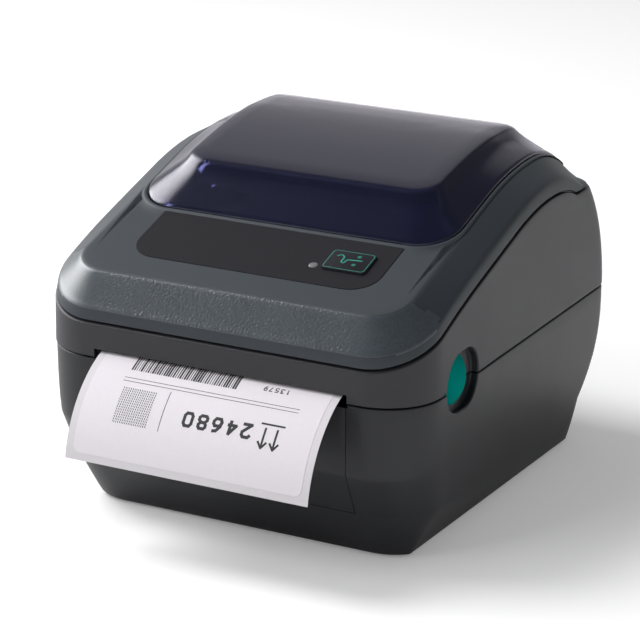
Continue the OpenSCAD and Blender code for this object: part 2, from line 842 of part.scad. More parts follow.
// --- Electronics ----------------------------------------------------------

module main_board() {
    color("#1d5a3a") {
        difference() {
            block([-main_board_half_w, main_board_front_y, main_board_z],
                [main_board_half_w, main_board_rear_y, main_board_z + board_t]);
            block([switch_x - switch_w / 2 - 1, rear_wall_y - switch_l - 1, main_board_z - 1],
                [switch_x + switch_w / 2 + 1, rear_y, main_board_z + board_t + 1]);
        }
        block([-30, main_board_front_y + 8, main_board_z + board_t],
            [-16, main_board_front_y + 22, main_board_z + board_t + 1.5]);
        for (x = [12, 24, 36]) translate([x, main_board_front_y + 12, main_board_z + board_t])
            cylinder(r = 4, h = 2.5);
    }
}

// A socket on the board with its mouth in the rear wall
module socket(x, w, l, h, mouth_w, mouth_h) {
    difference() {
        block([x - w / 2, rear_wall_y + socket_out - l, main_board_z + board_t],
            [x + w / 2, rear_wall_y + socket_out, main_board_z + board_t + h]);
        translate([x, rear_wall_y + socket_out - l / 2, main_board_z + board_t + h / 2])
            block([-mouth_w / 2, 0, -mouth_h / 2], [mouth_w / 2, l, mouth_h / 2]);
    }
}

module usb_socket() {
    color("#c9ccd0") {
        socket(usb_x, usb_w, usb_l, usb_h, usb_w - 2, usb_h - 2);
        translate([usb_x, rear_wall_y + socket_out - 5, main_board_z + board_t + usb_h / 2])
            block([-2.8, -usb_l / 2, -1.6], [2.8, 3, 1.6]);
    }
}

module serial_socket() {
    color("#b4b7bb") {
        difference() {
            socket(serial_x, serial_w, serial_l, serial_h, 17, 8);
            for (s = [-1, 1]) translate([serial_x + s * 12.5, rear_y, main_board_z + board_t + serial_h / 2])
                rotate([90, 0, 0]) cylinder(r = 1.5, h = body_d / 4);
        }
        for (k = [0:8]) translate([serial_x - 5.5 + 2.75 * (k % 5) + (k > 4 ? 1.4 : 0),
            rear_wall_y - serial_l / 2, main_board_z + board_t + serial_h / 2 + (k > 4 ? -1.4 : 1.4)])
            rotate([-90, 0, 0]) cylinder(r = 0.5, h = 5);
    }
}

module dc_inlet() {
    axis_z = main_board_z + board_t + dc_h / 2;
    color("#1b1b1d") {
        difference() {
            block([dc_x - dc_w / 2, rear_wall_y + socket_out - dc_l, main_board_z + board_t],
                [dc_x + dc_w / 2, rear_wall_y + socket_out, main_board_z + board_t + dc_h]);
            translate([dc_x, rear_wall_y - dc_l + 4, axis_z]) rotate([-90, 0, 0])
                cylinder(r = 3.2, h = dc_l);
        }
        translate([dc_x, rear_wall_y - dc_l + 3.5, axis_z]) rotate([-90, 0, 0]) cylinder(r = 1, h = dc_l - 5);
    }
}

module switch_housing() {
    color("#1b1b1d") difference() {
        union() {
            block([switch_x - switch_w / 2, rear_wall_y - switch_l, switch_z - switch_h / 2],
                [switch_x + switch_w / 2, rear_wall_y + 0.4, switch_z + switch_h / 2]);
            block([switch_x - switch_w / 2 - 1.5, rear_wall_y, switch_z - switch_h / 2 - 1.5],
                [switch_x + switch_w / 2 + 1.5, rear_wall_y + 1.2, switch_z + switch_h / 2 + 1.5]);
        }
        block([switch_x - rocker_w / 2 - gap, rear_wall_y - switch_l + 2, switch_z - rocker_h / 2 - gap],
            [switch_x + rocker_w / 2 + gap, rear_wall_y + 5, switch_z + rocker_h / 2 + gap]);
        translate([switch_x, rear_wall_y - 3, switch_z - switch_h / 2 + 1])
            cylinder(r = rocker_axle_r, h = switch_h - 2);
    }
}

// Rocker with two faces that meet in a shallow trough; one face is pressed in
module power_rocker() {
    axle_y = rear_wall_y - 3;
    rise = 4;
    color("#27282b") difference() {
        translate([switch_x, axle_y, switch_z - rocker_h / 2]) rotate([0, 0, rocker_tilt])
            linear_extrude(rocker_h) polygon([[-rocker_w / 2 + 1, rise + 1.6], [0, rise - 0.2],
                [rocker_w / 2 - 1, rise + 1.6], [rocker_w / 2 - 0.8, 0], [4, -3.5], [-4, -3.5],
                [-rocker_w / 2 + 0.8, 0]]);
        translate([switch_x, axle_y, 0]) cylinder(r = rocker_axle_r + play, h = body_h / 2);
    }
}

module switch_axle() {
    color("silver") translate([switch_x, rear_wall_y - 3, switch_z - switch_h / 2 + 1])
        cylinder(r = rocker_axle_r, h = switch_h - 2);
}

// --- Latches --------------------------------------------------------------

// Lever at the right side with the neck that carries the button
module latch_lever() {
    difference() {
        union() {
            across(lever_out - lever_t, lever_out) union() {
                translate([latch_y, latch_pivot_z]) circle(lever_w / 2 + 1.5);
                translate([latch_y - lever_w / 2, latch_pivot_z])
                    square([lever_w, lever_top_z - latch_pivot_z]);
                translate([striker_y + striker_r + gap, striker_z + striker_r + gap])
                    polygon([[0, 0.6], [0, 3.2], [4, lever_top_z - striker_z - striker_r - gap],
                        [8, lever_top_z - striker_z - striker_r - gap], [8, 0]]);
            }
            rod(neck_r, lever_out - eps, dish_floor + gap, latch_y, latch_z);
        }
        rod(pivot_r + play, lever_out - lever_t - 1, lever_out + 1, latch_y, latch_pivot_z);
    }
}

module latch_right() {
    color("#3a3d40") latch_lever();
}

module latch_left() {
    color("#3a3d40") mirror([1, 0, 0]) latch_lever();
}

// Domed button on the end of the neck
module latch_dome() {
    out = half_w + latch_out - dish_floor - gap;
    dome_r = (pow(latch_r, 2) + pow(out, 2)) / (2 * out);
    intersection() {
        translate([half_w + latch_out - dome_r, latch_y, latch_z]) sphere(r = dome_r);
        rod(latch_r, dish_floor + gap, half_w + latch_out + 1, latch_y, latch_z);
    }
}

module latch_button_right() {
    color("#0f9a86") latch_dome();
}

module latch_button_left() {
    color("#0f9a86") mirror([1, 0, 0]) latch_dome();
}

module latch_pins() {
    color("silver") both() {
        rod(pivot_r, lever_out - lever_t - 0.1, half_w - 1.5, latch_y, latch_pivot_z);
        rod(pivot_r + 1.5, lever_out - lever_t - 1.1, lever_out - lever_t - 0.1, latch_y, latch_pivot_z);
    }
}

module latch_spring() {
    translate([lever_out - lever_t / 2, latch_spring_y + 0.1, latch_spring_z]) rotate([-90, 0, 0])
        coil(latch_spring_r - 0.3, 0.3, 6, latch_spring_l - 0.1);
}

module latch_spring_right() {
    color("silver") latch_spring();
}

module latch_spring_left() {
    color("silver") mirror([1, 0, 0]) latch_spring();
}

// --- Lid ------------------------------------------------------------------

module hinge_pins() {
    color("silver") both()
        rod(hinge_pin_r, ear_x - ear_w / 2 - knuckle_w, ear_x + ear_w / 2 + knuckle_w - 1, hinge_y, hinge_z);
}

// Side view of the room under the groove
module under_groove(z0) {
    n = 40;
    polygon(concat([[front_y - 1, z0]],
        [for (k = [0:n]) let (y = front_y - 1 + (cover_rear_y + 1 - front_y) * k / n) [y, groove_z(y)]],
        [[rear_y + 1, rear_seam_z], [rear_y + 1, z0]]));
}

// Place of the rear skin at a height
function rear_skin(z) = crest_y + crest_e * sqrt(1 - pow(max(0, z - rear_round_z)
    / (crest_z - rear_round_z), 2));

cover_rear_y = rear_skin(rear_seam_z + groove_gap);

// The lid's walls from the parting line up, moved in by a wall
module lid_walls(t, z0) {
    levels = concat([z0], [for (a = [12:9:66]) rear_round_z + (crest_z - rear_round_z) * sin(a)]);
    loft([for (z = levels) [for (p = outline(half_w - t, front_y + t, rear_skin(z) - t,
        front_corner_r - t, rear_corner_r - t)) [p[0], p[1], z]]]);
}

module lid_side(t, z0) {
    intersection() {
        lid_walls(t, z0);
        across(-body_w, body_w) under_groove(z0);
    }
}

module upper_case() {
    cut_w = ear_w / 2 + gap;
    color("#3b3f43") difference() {
        union() {
            difference() {
                lid_side(0, lid_z);
                lid_walls(wall, lid_z - 1);
            }
            intersection() {
                lid_side(eps, lid_z);
                union() {
                    difference() {
                        rod(barrel_r, -half_w, half_w, hinge_y, hinge_z);
                        rod(barrel_r - wall, -half_w - 1, half_w + 1, hinge_y, hinge_z);
                    }
                    both() for (x = [ear_x - cut_w - knuckle_w, ear_x + cut_w])
                        rod(barrel_r, x, x + knuckle_w, hinge_y, hinge_z);
                    both() for (y = lug_y) translate([lug_x, y, frame_z - lug_t])
                        linear_extrude(lug_t) union() {
                            circle(lug_r);
                            translate([0, -lug_r]) square([half_w, 2 * lug_r]);
                        }
                    both() dish_form(dish_r + wall, dish_floor - dish_back, half_w);
                }
            }
        }
        difference() {
            block([-half_w - 1, hinge_y, lid_z - 1], [half_w + 1, rear_y + 1, hinge_z]);
            rod(barrel_r, -half_w - 2, half_w + 2, hinge_y, hinge_z);
        }
        both() {
            rod(hinge_pin_r + play, ear_x - cut_w - knuckle_w, ear_x + cut_w + knuckle_w, hinge_y, hinge_z);
            rod(ear_r + gap, ear_x - cut_w, ear_x + cut_w, hinge_y, hinge_z);
            block([ear_x - cut_w, hinge_y - ear_r - gap, lid_z - 1],
                [ear_x + cut_w, rear_y + 1, hinge_z + ear_r + gap]);
            for (y = lug_y) translate([lug_x, y, frame_z - lug_t - 1]) cylinder(r = screw_r + play, h = lug_t + 2);
            dish_form(dish_r, dish_floor, half_w + 1);
            neck_slot();
        }
        block([-slot_half_w, front_y - 1, lid_z - 1], [slot_half_w, front_y + wall + 1, slot_top_z]);
    }
}

// Half ring of the frame above the groove: moved in, raised from the top by share of the bevel
function cover_ring(in, f, rear) = [for (p = outline(half_w - in, front_y + in,
    rear, front_corner_r - in * 0.6, rear_corner_r)) [p[0], p[1], f(p[0], p[1])]];

// Share of a place that belongs to the side, against the rear flat
function sideness(x, y) = y < crest_y ? 1 :
    max(0, min(1, (abs(x) - half_w + rear_corner_r + 4) / rear_corner_r));

function deck_ring(t, down) = [for (p = outline(deck_half_w - t, front_y + deck_d + t,
    rear_y - 26 - t, deck_corner_r, rear_corner_r)) [p[0] - taper(p[1]), p[1], top_z(p[1]) - down]];

module cover_form() {
    loft([
        cover_ring(groove_in, function(x, y) groove_z(y) + groove_gap, cover_rear_y),
        cover_ring(1, function(x, y) max(groove_z(y) + groove_gap + 0.4,
            top_z(y) - 1.2 - bevel_drop(y) * sideness(x, y)), cover_rear_y - 0.5),
        cover_ring(2.4, function(x, y) max(groove_z(y) + groove_gap + 0.8,
            top_z(y) + 0.6 - (bevel_drop(y) + 0.2) * sideness(x, y)), cover_rear_y - 1.2),
        deck_ring(0, 0)]);
}

module cover_room() {
    in = lip_in + lip_t;
    loft([
        cover_ring(in, function(x, y) groove_z(y) - 8, cover_rear_y - in - 0.5),
        cover_ring(in + 0.1, function(x, y) top_z(y) - 3.6 - bevel_drop(y) * sideness(x, y),
            cover_rear_y - in - 0.9),
        cover_ring(wall + 2.8, function(x, y) top_z(y) - 2.4 - bevel_drop(y) * sideness(x, y),
            cover_rear_y - in - 1.7),
        deck_ring(4.5, 4.3)]);
}

// Outline of the window's foot, moved out by t
function window_ring(t, lean, front, rear, f) = [for (p = outline(window_half_w + t - lean,
    front_y + window_d - t + front, rear_y - window_e + t - rear,
    window_corner_r - lean * 0.5, window_rear_r)) [p[0], p[1], f(p[1])]];

module window_form(t, down) {
    side = window_lean;
    front = window_front_lean;
    rear = window_rear_lean;
    loft([
        window_ring(-t, 0, 0, 0, function(y) top_z(y) - window_seat - down * 3),
        window_ring(-t, 0, 0, 0, function(y) top_z(y) + 1 - down),
        window_ring(-t, 0.8, 0.7, 0.7, function(y) top_z(y) + 1.8 - down),
        window_ring(-t, side * 0.8, front * 0.82, rear * 0.8,
            function(y) top_z(y) * 0.25 + roof_z(y) * 0.75 - 1.2 - down),
        window_ring(-t, side, front, rear, function(y) roof_z(y) - 0.8 - down),
        window_ring(-t, side + 2, front + 2.5, rear + 3, function(y) roof_z(y) - down)]);
}

module window_hole(t) {
    loft([
        window_ring(t, 0, 0, 0, function(y) top_z(y) - 30),
        window_ring(t, 0, 0, 0, function(y) top_z(y) + 8)]);
}

module top_cover() {
    color("#4a5458") {
        difference() {
            union() {
                difference() {
                    cover_form();
                    cover_room();
                    on_deck() translate([-recess_half_w, deck_y(overlay_d), -deck_wall - 3])
                        cube([2 * recess_half_w, deck_y(window_d) - deck_y(overlay_d) - 8, 3]);
                }
                intersection() {
                    across(-body_w, body_w) difference() {
                        translate([0, groove_gap + 3]) under_groove(lid_z);
                        translate([0, -lip_h]) under_groove(lid_z);
                    }
                    difference() {
                        lid_walls(lip_in, lid_z);
                        lid_walls(lip_in + lip_t, lid_z - 1);
                        both() for (y = lug_y)
                            block([lug_x, y - lug_r - gap, lid_z - 1], [half_w, y + lug_r + gap, frame_z + gap]);
                    }
                }
                intersection() {
                    both() for (y = lug_y) translate([lug_x, y, frame_z + lid_frame_t])
                        cylinder(r = 4.5, h = body_h);
                    cover_form();
                }
                intersection() {
                    both() for (y = lug_y) translate([lug_x, y, frame_z + lid_frame_t])
                        cylinder(r = 4.5, h = groove_z(y) + 6 - frame_z - lid_frame_t);
                    lid_walls(lip_in, lid_z);
                }
                on_deck() for (x = [button_x - 14, button_x + 14])
                    translate([x, deck_y(button_d), -board_drop]) cylinder(r = 2, h = board_drop - 1);
            }
            window_hole(0);
            both() for (y = lug_y) translate([lug_x, y, frame_z - 1]) cylinder(r = screw_r, h = 11);
            on_deck() {
                overlay_place() translate([0, 0, -overlay_t + overlay_proud]) linear_extrude(5)
                    overlay_shape(0.1);
                button_place() translate([0, 0, -deck_wall * 3]) linear_extrude(deck_wall * 4)
                    rounded(button_w + 2 * button_gap, button_l + 2 * button_gap, 2);
                led_place() translate([0, 0, -deck_wall * 3]) cylinder(r = led_r + play, h = deck_wall * 4);
            }
        }
    }
}

module overlay_place() {
    translate([0, deck_y(overlay_d), 0]) children();
}

module button_place() {
    translate([button_x, deck_y(button_d), 0]) children();
}

module led_place() {
    translate([led_x, deck_y(led_d), 0]) children();
}

// Overlay seen square to the deck, from its front edge up to the window
module overlay_shape(t) {
    l = deck_y(window_d) - deck_y(overlay_d) - 2;
    translate([0, l / 2]) union() {
        rounded(overlay_w + 2 * t, l + 2 * t, overlay_corner_r);
        translate([-overlay_w / 2 - t, 0]) square([overlay_w + 2 * t, l / 2 + t]);
    }
}

module overlay_panel() {
    color("#3a3c40") on_deck() difference() {
        overlay_place() translate([0, 0, overlay_proud - overlay_t]) linear_extrude(overlay_t) overlay_shape(0);
        button_place() translate([0, 0, -2]) linear_extrude(4)
            rounded(button_w + 2 * button_gap, button_l + 2 * button_gap, 2);
        led_place() translate([0, 0, -2]) cylinder(r = led_r + play, h = 4);
    }
}

module feed_button() {
    flange_z = -deck_wall - 1;
    color("#33363a") on_deck() button_place() {
        translate([0, 0, flange_z - button_flange]) linear_extrude(button_proud - flange_z + button_flange)
            rounded(button_w, button_l, 1.8);
        translate([0, 0, flange_z - button_flange]) linear_extrude(button_flange)
            rounded(button_w + 2.4, button_l + 2.4, 1.8);
        translate([0, 0, -board_drop + 2 + button_travel + 0.3])
            cylinder(r = 2, h = board_drop - 2 - button_travel - 0.3 + flange_z);
    }
}

module button_spring() {
    color("silver") on_deck() button_place() translate([0, 0, -board_drop])
        coil(3.6, 0.25, 4, board_drop - deck_wall - 1 - button_flange - 0.1);
}

module status_light() {
    color("#c8cdcf") on_deck() led_place() translate([0, 0, -board_drop])
        cylinder(r = led_r, h = board_drop + overlay_proud + 0.3);
}

module button_board() {
    color("#1d5a3a") on_deck() button_place() {
        translate([-19, -9, -board_drop - board_t]) cube([38, 18, board_t]);
        translate([0, 0, -board_drop]) cylinder(r = 1.6, h = 2);
    }
}

module window() {
    color("#1b2140") difference() {
        window_form(window_gap, 0);
        window_form(window_gap + window_wall, window_wall);
    }
}

module lid_frame() {
    low = head_pin_z - 5;
    color("#3d4044") difference() {
        union() {
            difference() {
                intersection() {
                    lid_walls(lid_frame_in, lid_z);
                    block([-half_w, lug_y[0] - lug_r, frame_z],
                        [half_w, lug_y[1] + lug_r + 1, frame_z + lid_frame_t]);
                }
                block([-media_w / 2 - 6, head_pin_y + 8, frame_z - 1],
                    [media_w / 2 + 6, rear_y, body_h]);
            }
            both() {
                across(head_half_w + 1, head_half_w + 4) polygon([[head_pin_y - 5, low],
                    [head_pin_y + 5, low], [head_pin_y + 7, frame_z + eps], [head_pin_y - 7, frame_z + eps]]);
                block([striker_in, striker_y - 4, striker_z - 4],
                    [striker_in + 3, striker_y + 4, frame_z + eps]);
            }
            across(tear_chamfer - tear_half_w, tear_half_w - tear_chamfer) polygon([
                [tear_back_y, strip_z + 6], [tear_back_y + 2, strip_z + 6],
                [tear_back_y + 2, tear_top_z - 2], [lid_frame_front_y + 2, frame_z],
                [lug_y[0] - lug_r + eps, frame_z], [lug_y[0] - lug_r + eps, frame_z + lid_frame_t],
                [lid_frame_front_y, frame_z + lid_frame_t], [tear_back_y, tear_top_z]]);
        }
        both() {
            for (y = lug_y) translate([lug_x, y, frame_z - 1]) cylinder(r = screw_r + play, h = 5);
            rod(pivot_r, head_half_w, head_half_w + 5, head_pin_y, head_pin_z);
            rod(striker_r, striker_in, striker_in + 4, striker_y, striker_z);
        }
    }
}

module lid_screws() {
    color("silver") both() for (y = lug_y) translate([lug_x, y, frame_z - lug_t]) {
        cylinder(r = screw_r, h = lug_t + 8);
        translate([0, 0, -1.2]) difference() {
            cylinder(r = screw_head_r, h = 1.2);
            translate([0, 0, -eps]) cylinder(r = 1.2, h = 0.7, $fn = 6);
        }
    }
}

module tear_bar() {
    low = strip_z + media_t + 0.4;
    pitch = 2 * tear_half_w / tear_teeth;
    color("silver") translate([0, tear_back_y, 0]) rotate([90, 0, 0]) linear_extrude(tear_t) union() {
        polygon([[-tear_half_w, low + 1.2], [tear_half_w, low + 1.2], [tear_half_w, tear_top_z - tear_chamfer],
            [tear_half_w - tear_chamfer, tear_top_z], [tear_chamfer - tear_half_w, tear_top_z],
            [-tear_half_w, tear_top_z - tear_chamfer]]);
        for (k = [0:tear_teeth - 1]) translate([-tear_half_w + pitch * k, low + 1.2])
            polygon([[0, eps], [0, 0], [pitch / 2, -1.2], [pitch, 0], [pitch, eps]]);
    }
}

module striker_pins() {
    color("silver") both() rod(striker_r, striker_in, lever_out, striker_y, striker_z);
}

// --- Printhead ------------------------------------------------------------

// Puts a side view at the nip, with its first axis along the strip
module at_nip() {
    translate([platen_y, head_z]) rotate(strip_angle) children();
}

module head_hole() {
    rod(pivot_r + play, -head_half_w - 1, head_half_w + 1, head_pin_y, head_pin_z);
}

module printhead() {
    color("#c9b48a") across(-head_half_w, head_half_w) at_nip()
        translate([-head_front, 0]) square([head_l + head_front, head_t]);
}

module heat_sink() {
    fins = 9;
    pitch = 2 * head_half_w / fins;
    color("#9a9da1") difference() {
        union() {
            across(-head_half_w, head_half_w) at_nip() translate([0, head_t]) square([head_l, sink_t]);
            intersection() {
                for (x = [-1, 1]) translate([x * head_spring_x, head_spring_y, head_z])
                    cylinder(r = head_spring_r + 1, h = head_spring_z - head_z);
                across(-head_half_w, head_half_w) at_nip() translate([-head_l, head_t]) square(2 * head_l);
            }
        }
        for (k = [1:fins - 1]) across(-head_half_w + pitch * k - 1.5, -head_half_w + pitch * k + 1.5)
            at_nip() translate([9, head_t + 2.5]) square([3, sink_t]);
        head_hole();
    }
}

module head_pin() {
    color("silver") rod(pivot_r, -head_half_w - 4, head_half_w + 4, head_pin_y, head_pin_z);
}

module head_springs() {
    color("silver") for (x = [-1, 1]) translate([x * head_spring_x, head_spring_y, head_spring_z + 0.1])
        coil(head_spring_r - 0.4, 0.4, 3, frame_z - head_spring_z - 0.1);
}

lower_case();
front_bezel();
rubber_feet();
case_screws();
media_frame();
platen_roller();
platen_shaft();
platen_gear();
platen_bearings();
idler_gear();
motor_pinion();
stepper_motor();
media_sensor();
guide_left();
guide_right();
guide_pinion();
guide_pinion_pin();
roll_core();
label_roll();
label_strip();
main_board();
usb_socket();
serial_socket();
dc_inlet();
switch_housing();
power_rocker();
switch_axle();
latch_left();
latch_right();
latch_button_left();
latch_button_right();
latch_pins();
latch_spring_left();
latch_spring_right();
hinge_pins();
upper_case();
top_cover();
window();
overlay_panel();
feed_button();
button_spring();
status_light();
button_board();
lid_frame();
lid_screws();
tear_bar();
striker_pins();
printhead();
heat_sink();
head_pin();
head_springs();
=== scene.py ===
"""Desktop label printer: its looks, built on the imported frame.

The classes hold sizes in millimetres; a mesh is scaled to metres when it is made.
X runs across the printer, Y from front to rear, Z up from the table.
"""

from __future__ import annotations

import json
import logging
import math
from dataclasses import dataclass
from enum import Enum
from typing import Callable, Iterable, Sequence

import bmesh
import bpy
from mathutils import Matrix, Vector

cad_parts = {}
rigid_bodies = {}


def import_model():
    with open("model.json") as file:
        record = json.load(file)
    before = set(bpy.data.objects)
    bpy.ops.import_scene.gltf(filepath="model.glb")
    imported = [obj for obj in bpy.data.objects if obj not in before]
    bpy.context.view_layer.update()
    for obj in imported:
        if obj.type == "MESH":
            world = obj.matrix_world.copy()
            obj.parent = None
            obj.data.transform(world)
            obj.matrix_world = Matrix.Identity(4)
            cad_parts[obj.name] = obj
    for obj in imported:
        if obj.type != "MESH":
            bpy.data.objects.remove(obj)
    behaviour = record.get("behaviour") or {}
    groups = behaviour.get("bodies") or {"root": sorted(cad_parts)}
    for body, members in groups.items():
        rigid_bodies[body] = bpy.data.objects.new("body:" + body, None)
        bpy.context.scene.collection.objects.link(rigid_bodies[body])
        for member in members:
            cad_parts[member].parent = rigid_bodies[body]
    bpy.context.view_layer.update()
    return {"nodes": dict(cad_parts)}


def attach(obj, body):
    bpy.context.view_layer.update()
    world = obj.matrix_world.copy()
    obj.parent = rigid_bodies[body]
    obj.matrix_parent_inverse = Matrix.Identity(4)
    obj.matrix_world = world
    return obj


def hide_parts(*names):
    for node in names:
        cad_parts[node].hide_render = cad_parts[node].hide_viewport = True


LOG = logging.getLogger("label_printer")
MM = 0.001
IMAGE_W = 640

Pair = tuple[float, float]
Triple = tuple[float, float, float]
Loop = list[Vector]
Piece = bpy.types.Object
Material = bpy.types.Material
Socket = bpy.types.NodeSocket
Rule = Callable[[float, float], float]


# --- Shape of the case ----------------------------------------------------


@dataclass(frozen=True)
class CaseForm:
    """Sizes of the case and the rules of its surfaces, in millimetres."""

    body_w: float = 172.6
    body_d: float = 210.0
    body_h: float = 151.0
    label_out: float = 27.0
    parting_z: float = 72.0
    seam_gap: float = 0.6
    wall: float = 2.5
    front_corner_r: float = 25.0
    rear_corner_r: float = 15.0
    crease_z: float = 22.5
    deck_angle: float = 17.0
    foot_h: float = 1.2
    widest_z: float = 60.0
    side_bulge_r: float = 204.0
    skirt_front_d: float = 25.5
    crease_d: float = 12.2
    tuck_z: float = 42.0
    tuck_d: float = 2.4
    case_front_d: float = 0.8
    skirt_rear_e: float = 14.0
    skirt_corner_r: float = 20.0
    rear_bulge_z: float = 64.0
    chamfer_front_in: float = 15.0
    chamfer_rear_in: float = 9.5
    deck_d: float = 8.0
    deck_up: float = 34.4
    crest_over: float = 7.5
    window_rise: float = 10.2
    window_brow_rise: float = 12.8
    brow_d: float = 74.0
    brow_power: float = 1.5
    roof_e: float = 75.0
    roof_l: float = 12.0
    roof_fall: float = 4.5
    roof_fall_l: float = 24.0
    rear_seam_drop: float = 5.6
    rear_round_z: float = 68.0
    bevel_h: float = 6.0
    bevel_front_more: float = 5.0
    bevel_rear_more: float = 3.0
    bevel_front_d: float = 59.0
    bevel_front_l: float = 57.0
    bevel_rear_d: float = 115.0
    bevel_rear_l: float = 50.0
    band_h: float = 6.8
    groove_gap: float = 1.1
    groove_in: float = 0.4
    deck_in: float = 12.3
    deck_corner_r: float = 14.0
    deck_e: float = 26.0
    side_over: float = 4.0
    deck_taper: float = 0.9
    deck_taper_d: float = 25.0
    deck_taper_l: float = 50.0
    window_half_w: float = 72.0
    window_d: float = 56.3
    window_e: float = 29.0
    window_corner_r: float = 17.0
    window_rear_r: float = 9.0

    @property
    def half_w(self) -> float:
        """Half of the width over the side walls."""
        return self.body_w / 2

    @property
    def front_y(self) -> float:
        """Front of the case."""
        return (self.label_out - self.body_d) / 2

    @property
    def rear_y(self) -> float:
        """Rear of the case."""
        return self.front_y + self.body_d

    @property
    def lid_z(self) -> float:
        """Lower edge of the lid."""
        return self.parting_z + self.seam_gap

    @property
    def deck_z(self) -> float:
        """Height of the deck at its front edge."""
        return self.lid_z + self.deck_up

    @property
    def deck_rise(self) -> float:
        """Slope of the deck."""
        return math.tan(math.radians(self.deck_angle))

    @property
    def crest_y(self) -> float:
        """Place of the crest from which the rear rounds off."""
        return self.front_y + self.deck_d + (self.crest_z + self.crest_over - self.deck_z) / self.deck_rise

    @property
    def crest_e(self) -> float:
        """Way from the crest to the rear."""
        return self.rear_y - self.crest_y

    @property
    def rear_bulge_r(self) -> float:
        """Radius of the rear wall's bulge in a side view."""
        rise = self.rear_bulge_z - self.crease_z
        return (rise**2 + self.skirt_rear_e**2) / (2 * self.skirt_rear_e)

    @property
    def crest_z(self) -> float:
        """Height of the crest."""
        return self.body_h - self.window_rise

    @property
    def crest_r(self) -> float:
        """Radius of the bend from deck to crest.

        Returns:
            The radius.
        """
        turn = math.cos(math.radians(self.deck_angle))
        over = self.deck_z + self.deck_rise * (self.crest_y - self.front_y - self.deck_d) - self.crest_z
        return over * turn / (1 - turn)

    @property
    def bend_y(self) -> float:
        """Place where the plane of the deck ends."""
        return self.crest_y - self.crest_r * math.sin(math.radians(self.deck_angle))

    @property
    def rear_seam_z(self) -> float:
        """Height of the seam across the rear of the lid."""
        return self.top_z(self.rear_y - self.window_e) - self.rear_seam_drop

    @property
    def deck_half_w(self) -> float:
        """Half of the width of the deck."""
        return self.half_w - self.deck_in

    def top_z(self, y: float) -> float:
        """Height of deck, crest and rounded rear at a place along the lid.

        Args:
            y: Place along the lid.

        Returns:
            The height.
        """
        if y < self.bend_y:
            return self.deck_z + self.deck_rise * (y - self.front_y - self.deck_d)
        if y < self.crest_y:
            return self.crest_z - self.crest_r + math.sqrt(self.crest_r**2 - (self.crest_y - y) ** 2)
        share = min(1.0, (y - self.crest_y) / self.crest_e)
        return self.rear_round_z + (self.crest_z - self.rear_round_z) * math.sqrt(1 - share**2)

    def bevel_drop(self, y: float) -> float:
        """Fall from the top to the soft edge above the band.

        Args:
            y: Place along the lid.

        Returns:
            The fall.
        """
        front = max(0.0, (self.front_y + self.bevel_front_d - y) / self.bevel_front_l)
        rear = max(0.0, (y - self.front_y - self.bevel_rear_d) / self.bevel_rear_l)
        return self.bevel_h + self.bevel_front_more * front**2 + self.bevel_rear_more * rear**2

    def soft_z(self, y: float) -> float:
        """Height of the soft edge."""
        return self.top_z(y) - self.bevel_drop(y)

    def groove_z(self, y: float) -> float:
        """Height of the groove under the band."""
        low = self.soft_z(y) - self.band_h
        return low if y < self.crest_y else max(low, self.rear_seam_z)

    def roof_z(self, y: float) -> float:
        """Height of the window's roof.

        Args:
            y: Place along the lid.

        Returns:
            The height.
        """
        top_y = self.rear_y - self.roof_e
        brow_y = self.front_y + self.brow_d
        front = max(0.0, (top_y - y) / (top_y - brow_y))
        rear = max(0.0, (y - top_y - self.roof_l) / self.roof_fall_l)
        drop = self.body_h - self.top_z(brow_y) - self.window_brow_rise
        return self.body_h - drop * front**self.brow_power - self.roof_fall * rear**2

    def rear_skin(self, z: float) -> float:
        """Place of the lid's rear skin at a height."""
        share = max(0.0, z - self.rear_round_z) / (self.crest_z - self.rear_round_z)
        return self.crest_y + self.crest_e * math.sqrt(max(0.0, 1 - share**2))

    def case_half(self, z: float) -> float:
        """Half width of the lower case at a height."""
        return self.half_w - max(0.0, self.widest_z - z) ** 2 / (2 * self.side_bulge_r)

    def case_front(self, z: float) -> float:
        """Front of the lower case at a height."""
        if z < self.crease_z:
            inset = self.skirt_front_d + (self.crease_d - self.skirt_front_d) * z / self.crease_z
        elif z < self.tuck_z:
            share = (z - self.crease_z) / (self.tuck_z - self.crease_z)
            inset = self.crease_d + (self.tuck_d - self.crease_d) * share
        else:
            share = (z - self.tuck_z) / (self.parting_z - self.tuck_z)
            inset = self.tuck_d + (self.case_front_d - self.tuck_d) * share
        return self.front_y + inset

    def case_rear(self, z: float) -> float:
        """Rear of the lower case at a height."""
        rise = self.rear_bulge_z - max(z, self.crease_z)
        return self.rear_y - self.rear_bulge_r + math.sqrt(self.rear_bulge_r**2 - rise**2)

    def case_corner(self, z: float) -> float:
        """Radius of the lower case's front corners at a height."""
        return self.skirt_corner_r + (self.front_corner_r - self.skirt_corner_r) * min(1.0, z / self.tuck_z)

    def skirt_limit(self, y: float, z: float) -> float:
        """Greatest half width that the sloping skirt leaves.

        Args:
            y: Place along the case.
            z: The height.

        Returns:
            The half width.
        """
        run = self.rear_y - self.skirt_rear_e - self.front_y - self.skirt_front_d
        lean = (self.chamfer_front_in - self.chamfer_rear_in) / run
        foot = self.half_w - self.chamfer_front_in + lean * (y - self.front_y - self.skirt_front_d)
        tilt = (self.case_half(self.crease_z) - self.half_w + self.chamfer_front_in) / self.crease_z
        return foot + tilt * z

    def taper(self, y: float) -> float:
        """How much the deck's edge draws in towards the rear."""
        share = (y - self.front_y - self.deck_taper_d) / self.deck_taper_l
        return self.deck_taper * min(1.0, max(0.0, share))

    def sideness(self, x: float, y: float) -> float:
        """Share of a place that belongs to the side, against the flat rear.

        Args:
            x: Place across the lid.
            y: Place along the lid.

        Returns:
            0 on the flat rear, 1 at the sides.
        """
        if y < self.crest_y:
            return 1.0
        past = abs(x) - self.half_w + self.rear_corner_r + self.side_over
        return min(1.0, max(0.0, past / self.rear_corner_r))


FORM = CaseForm()


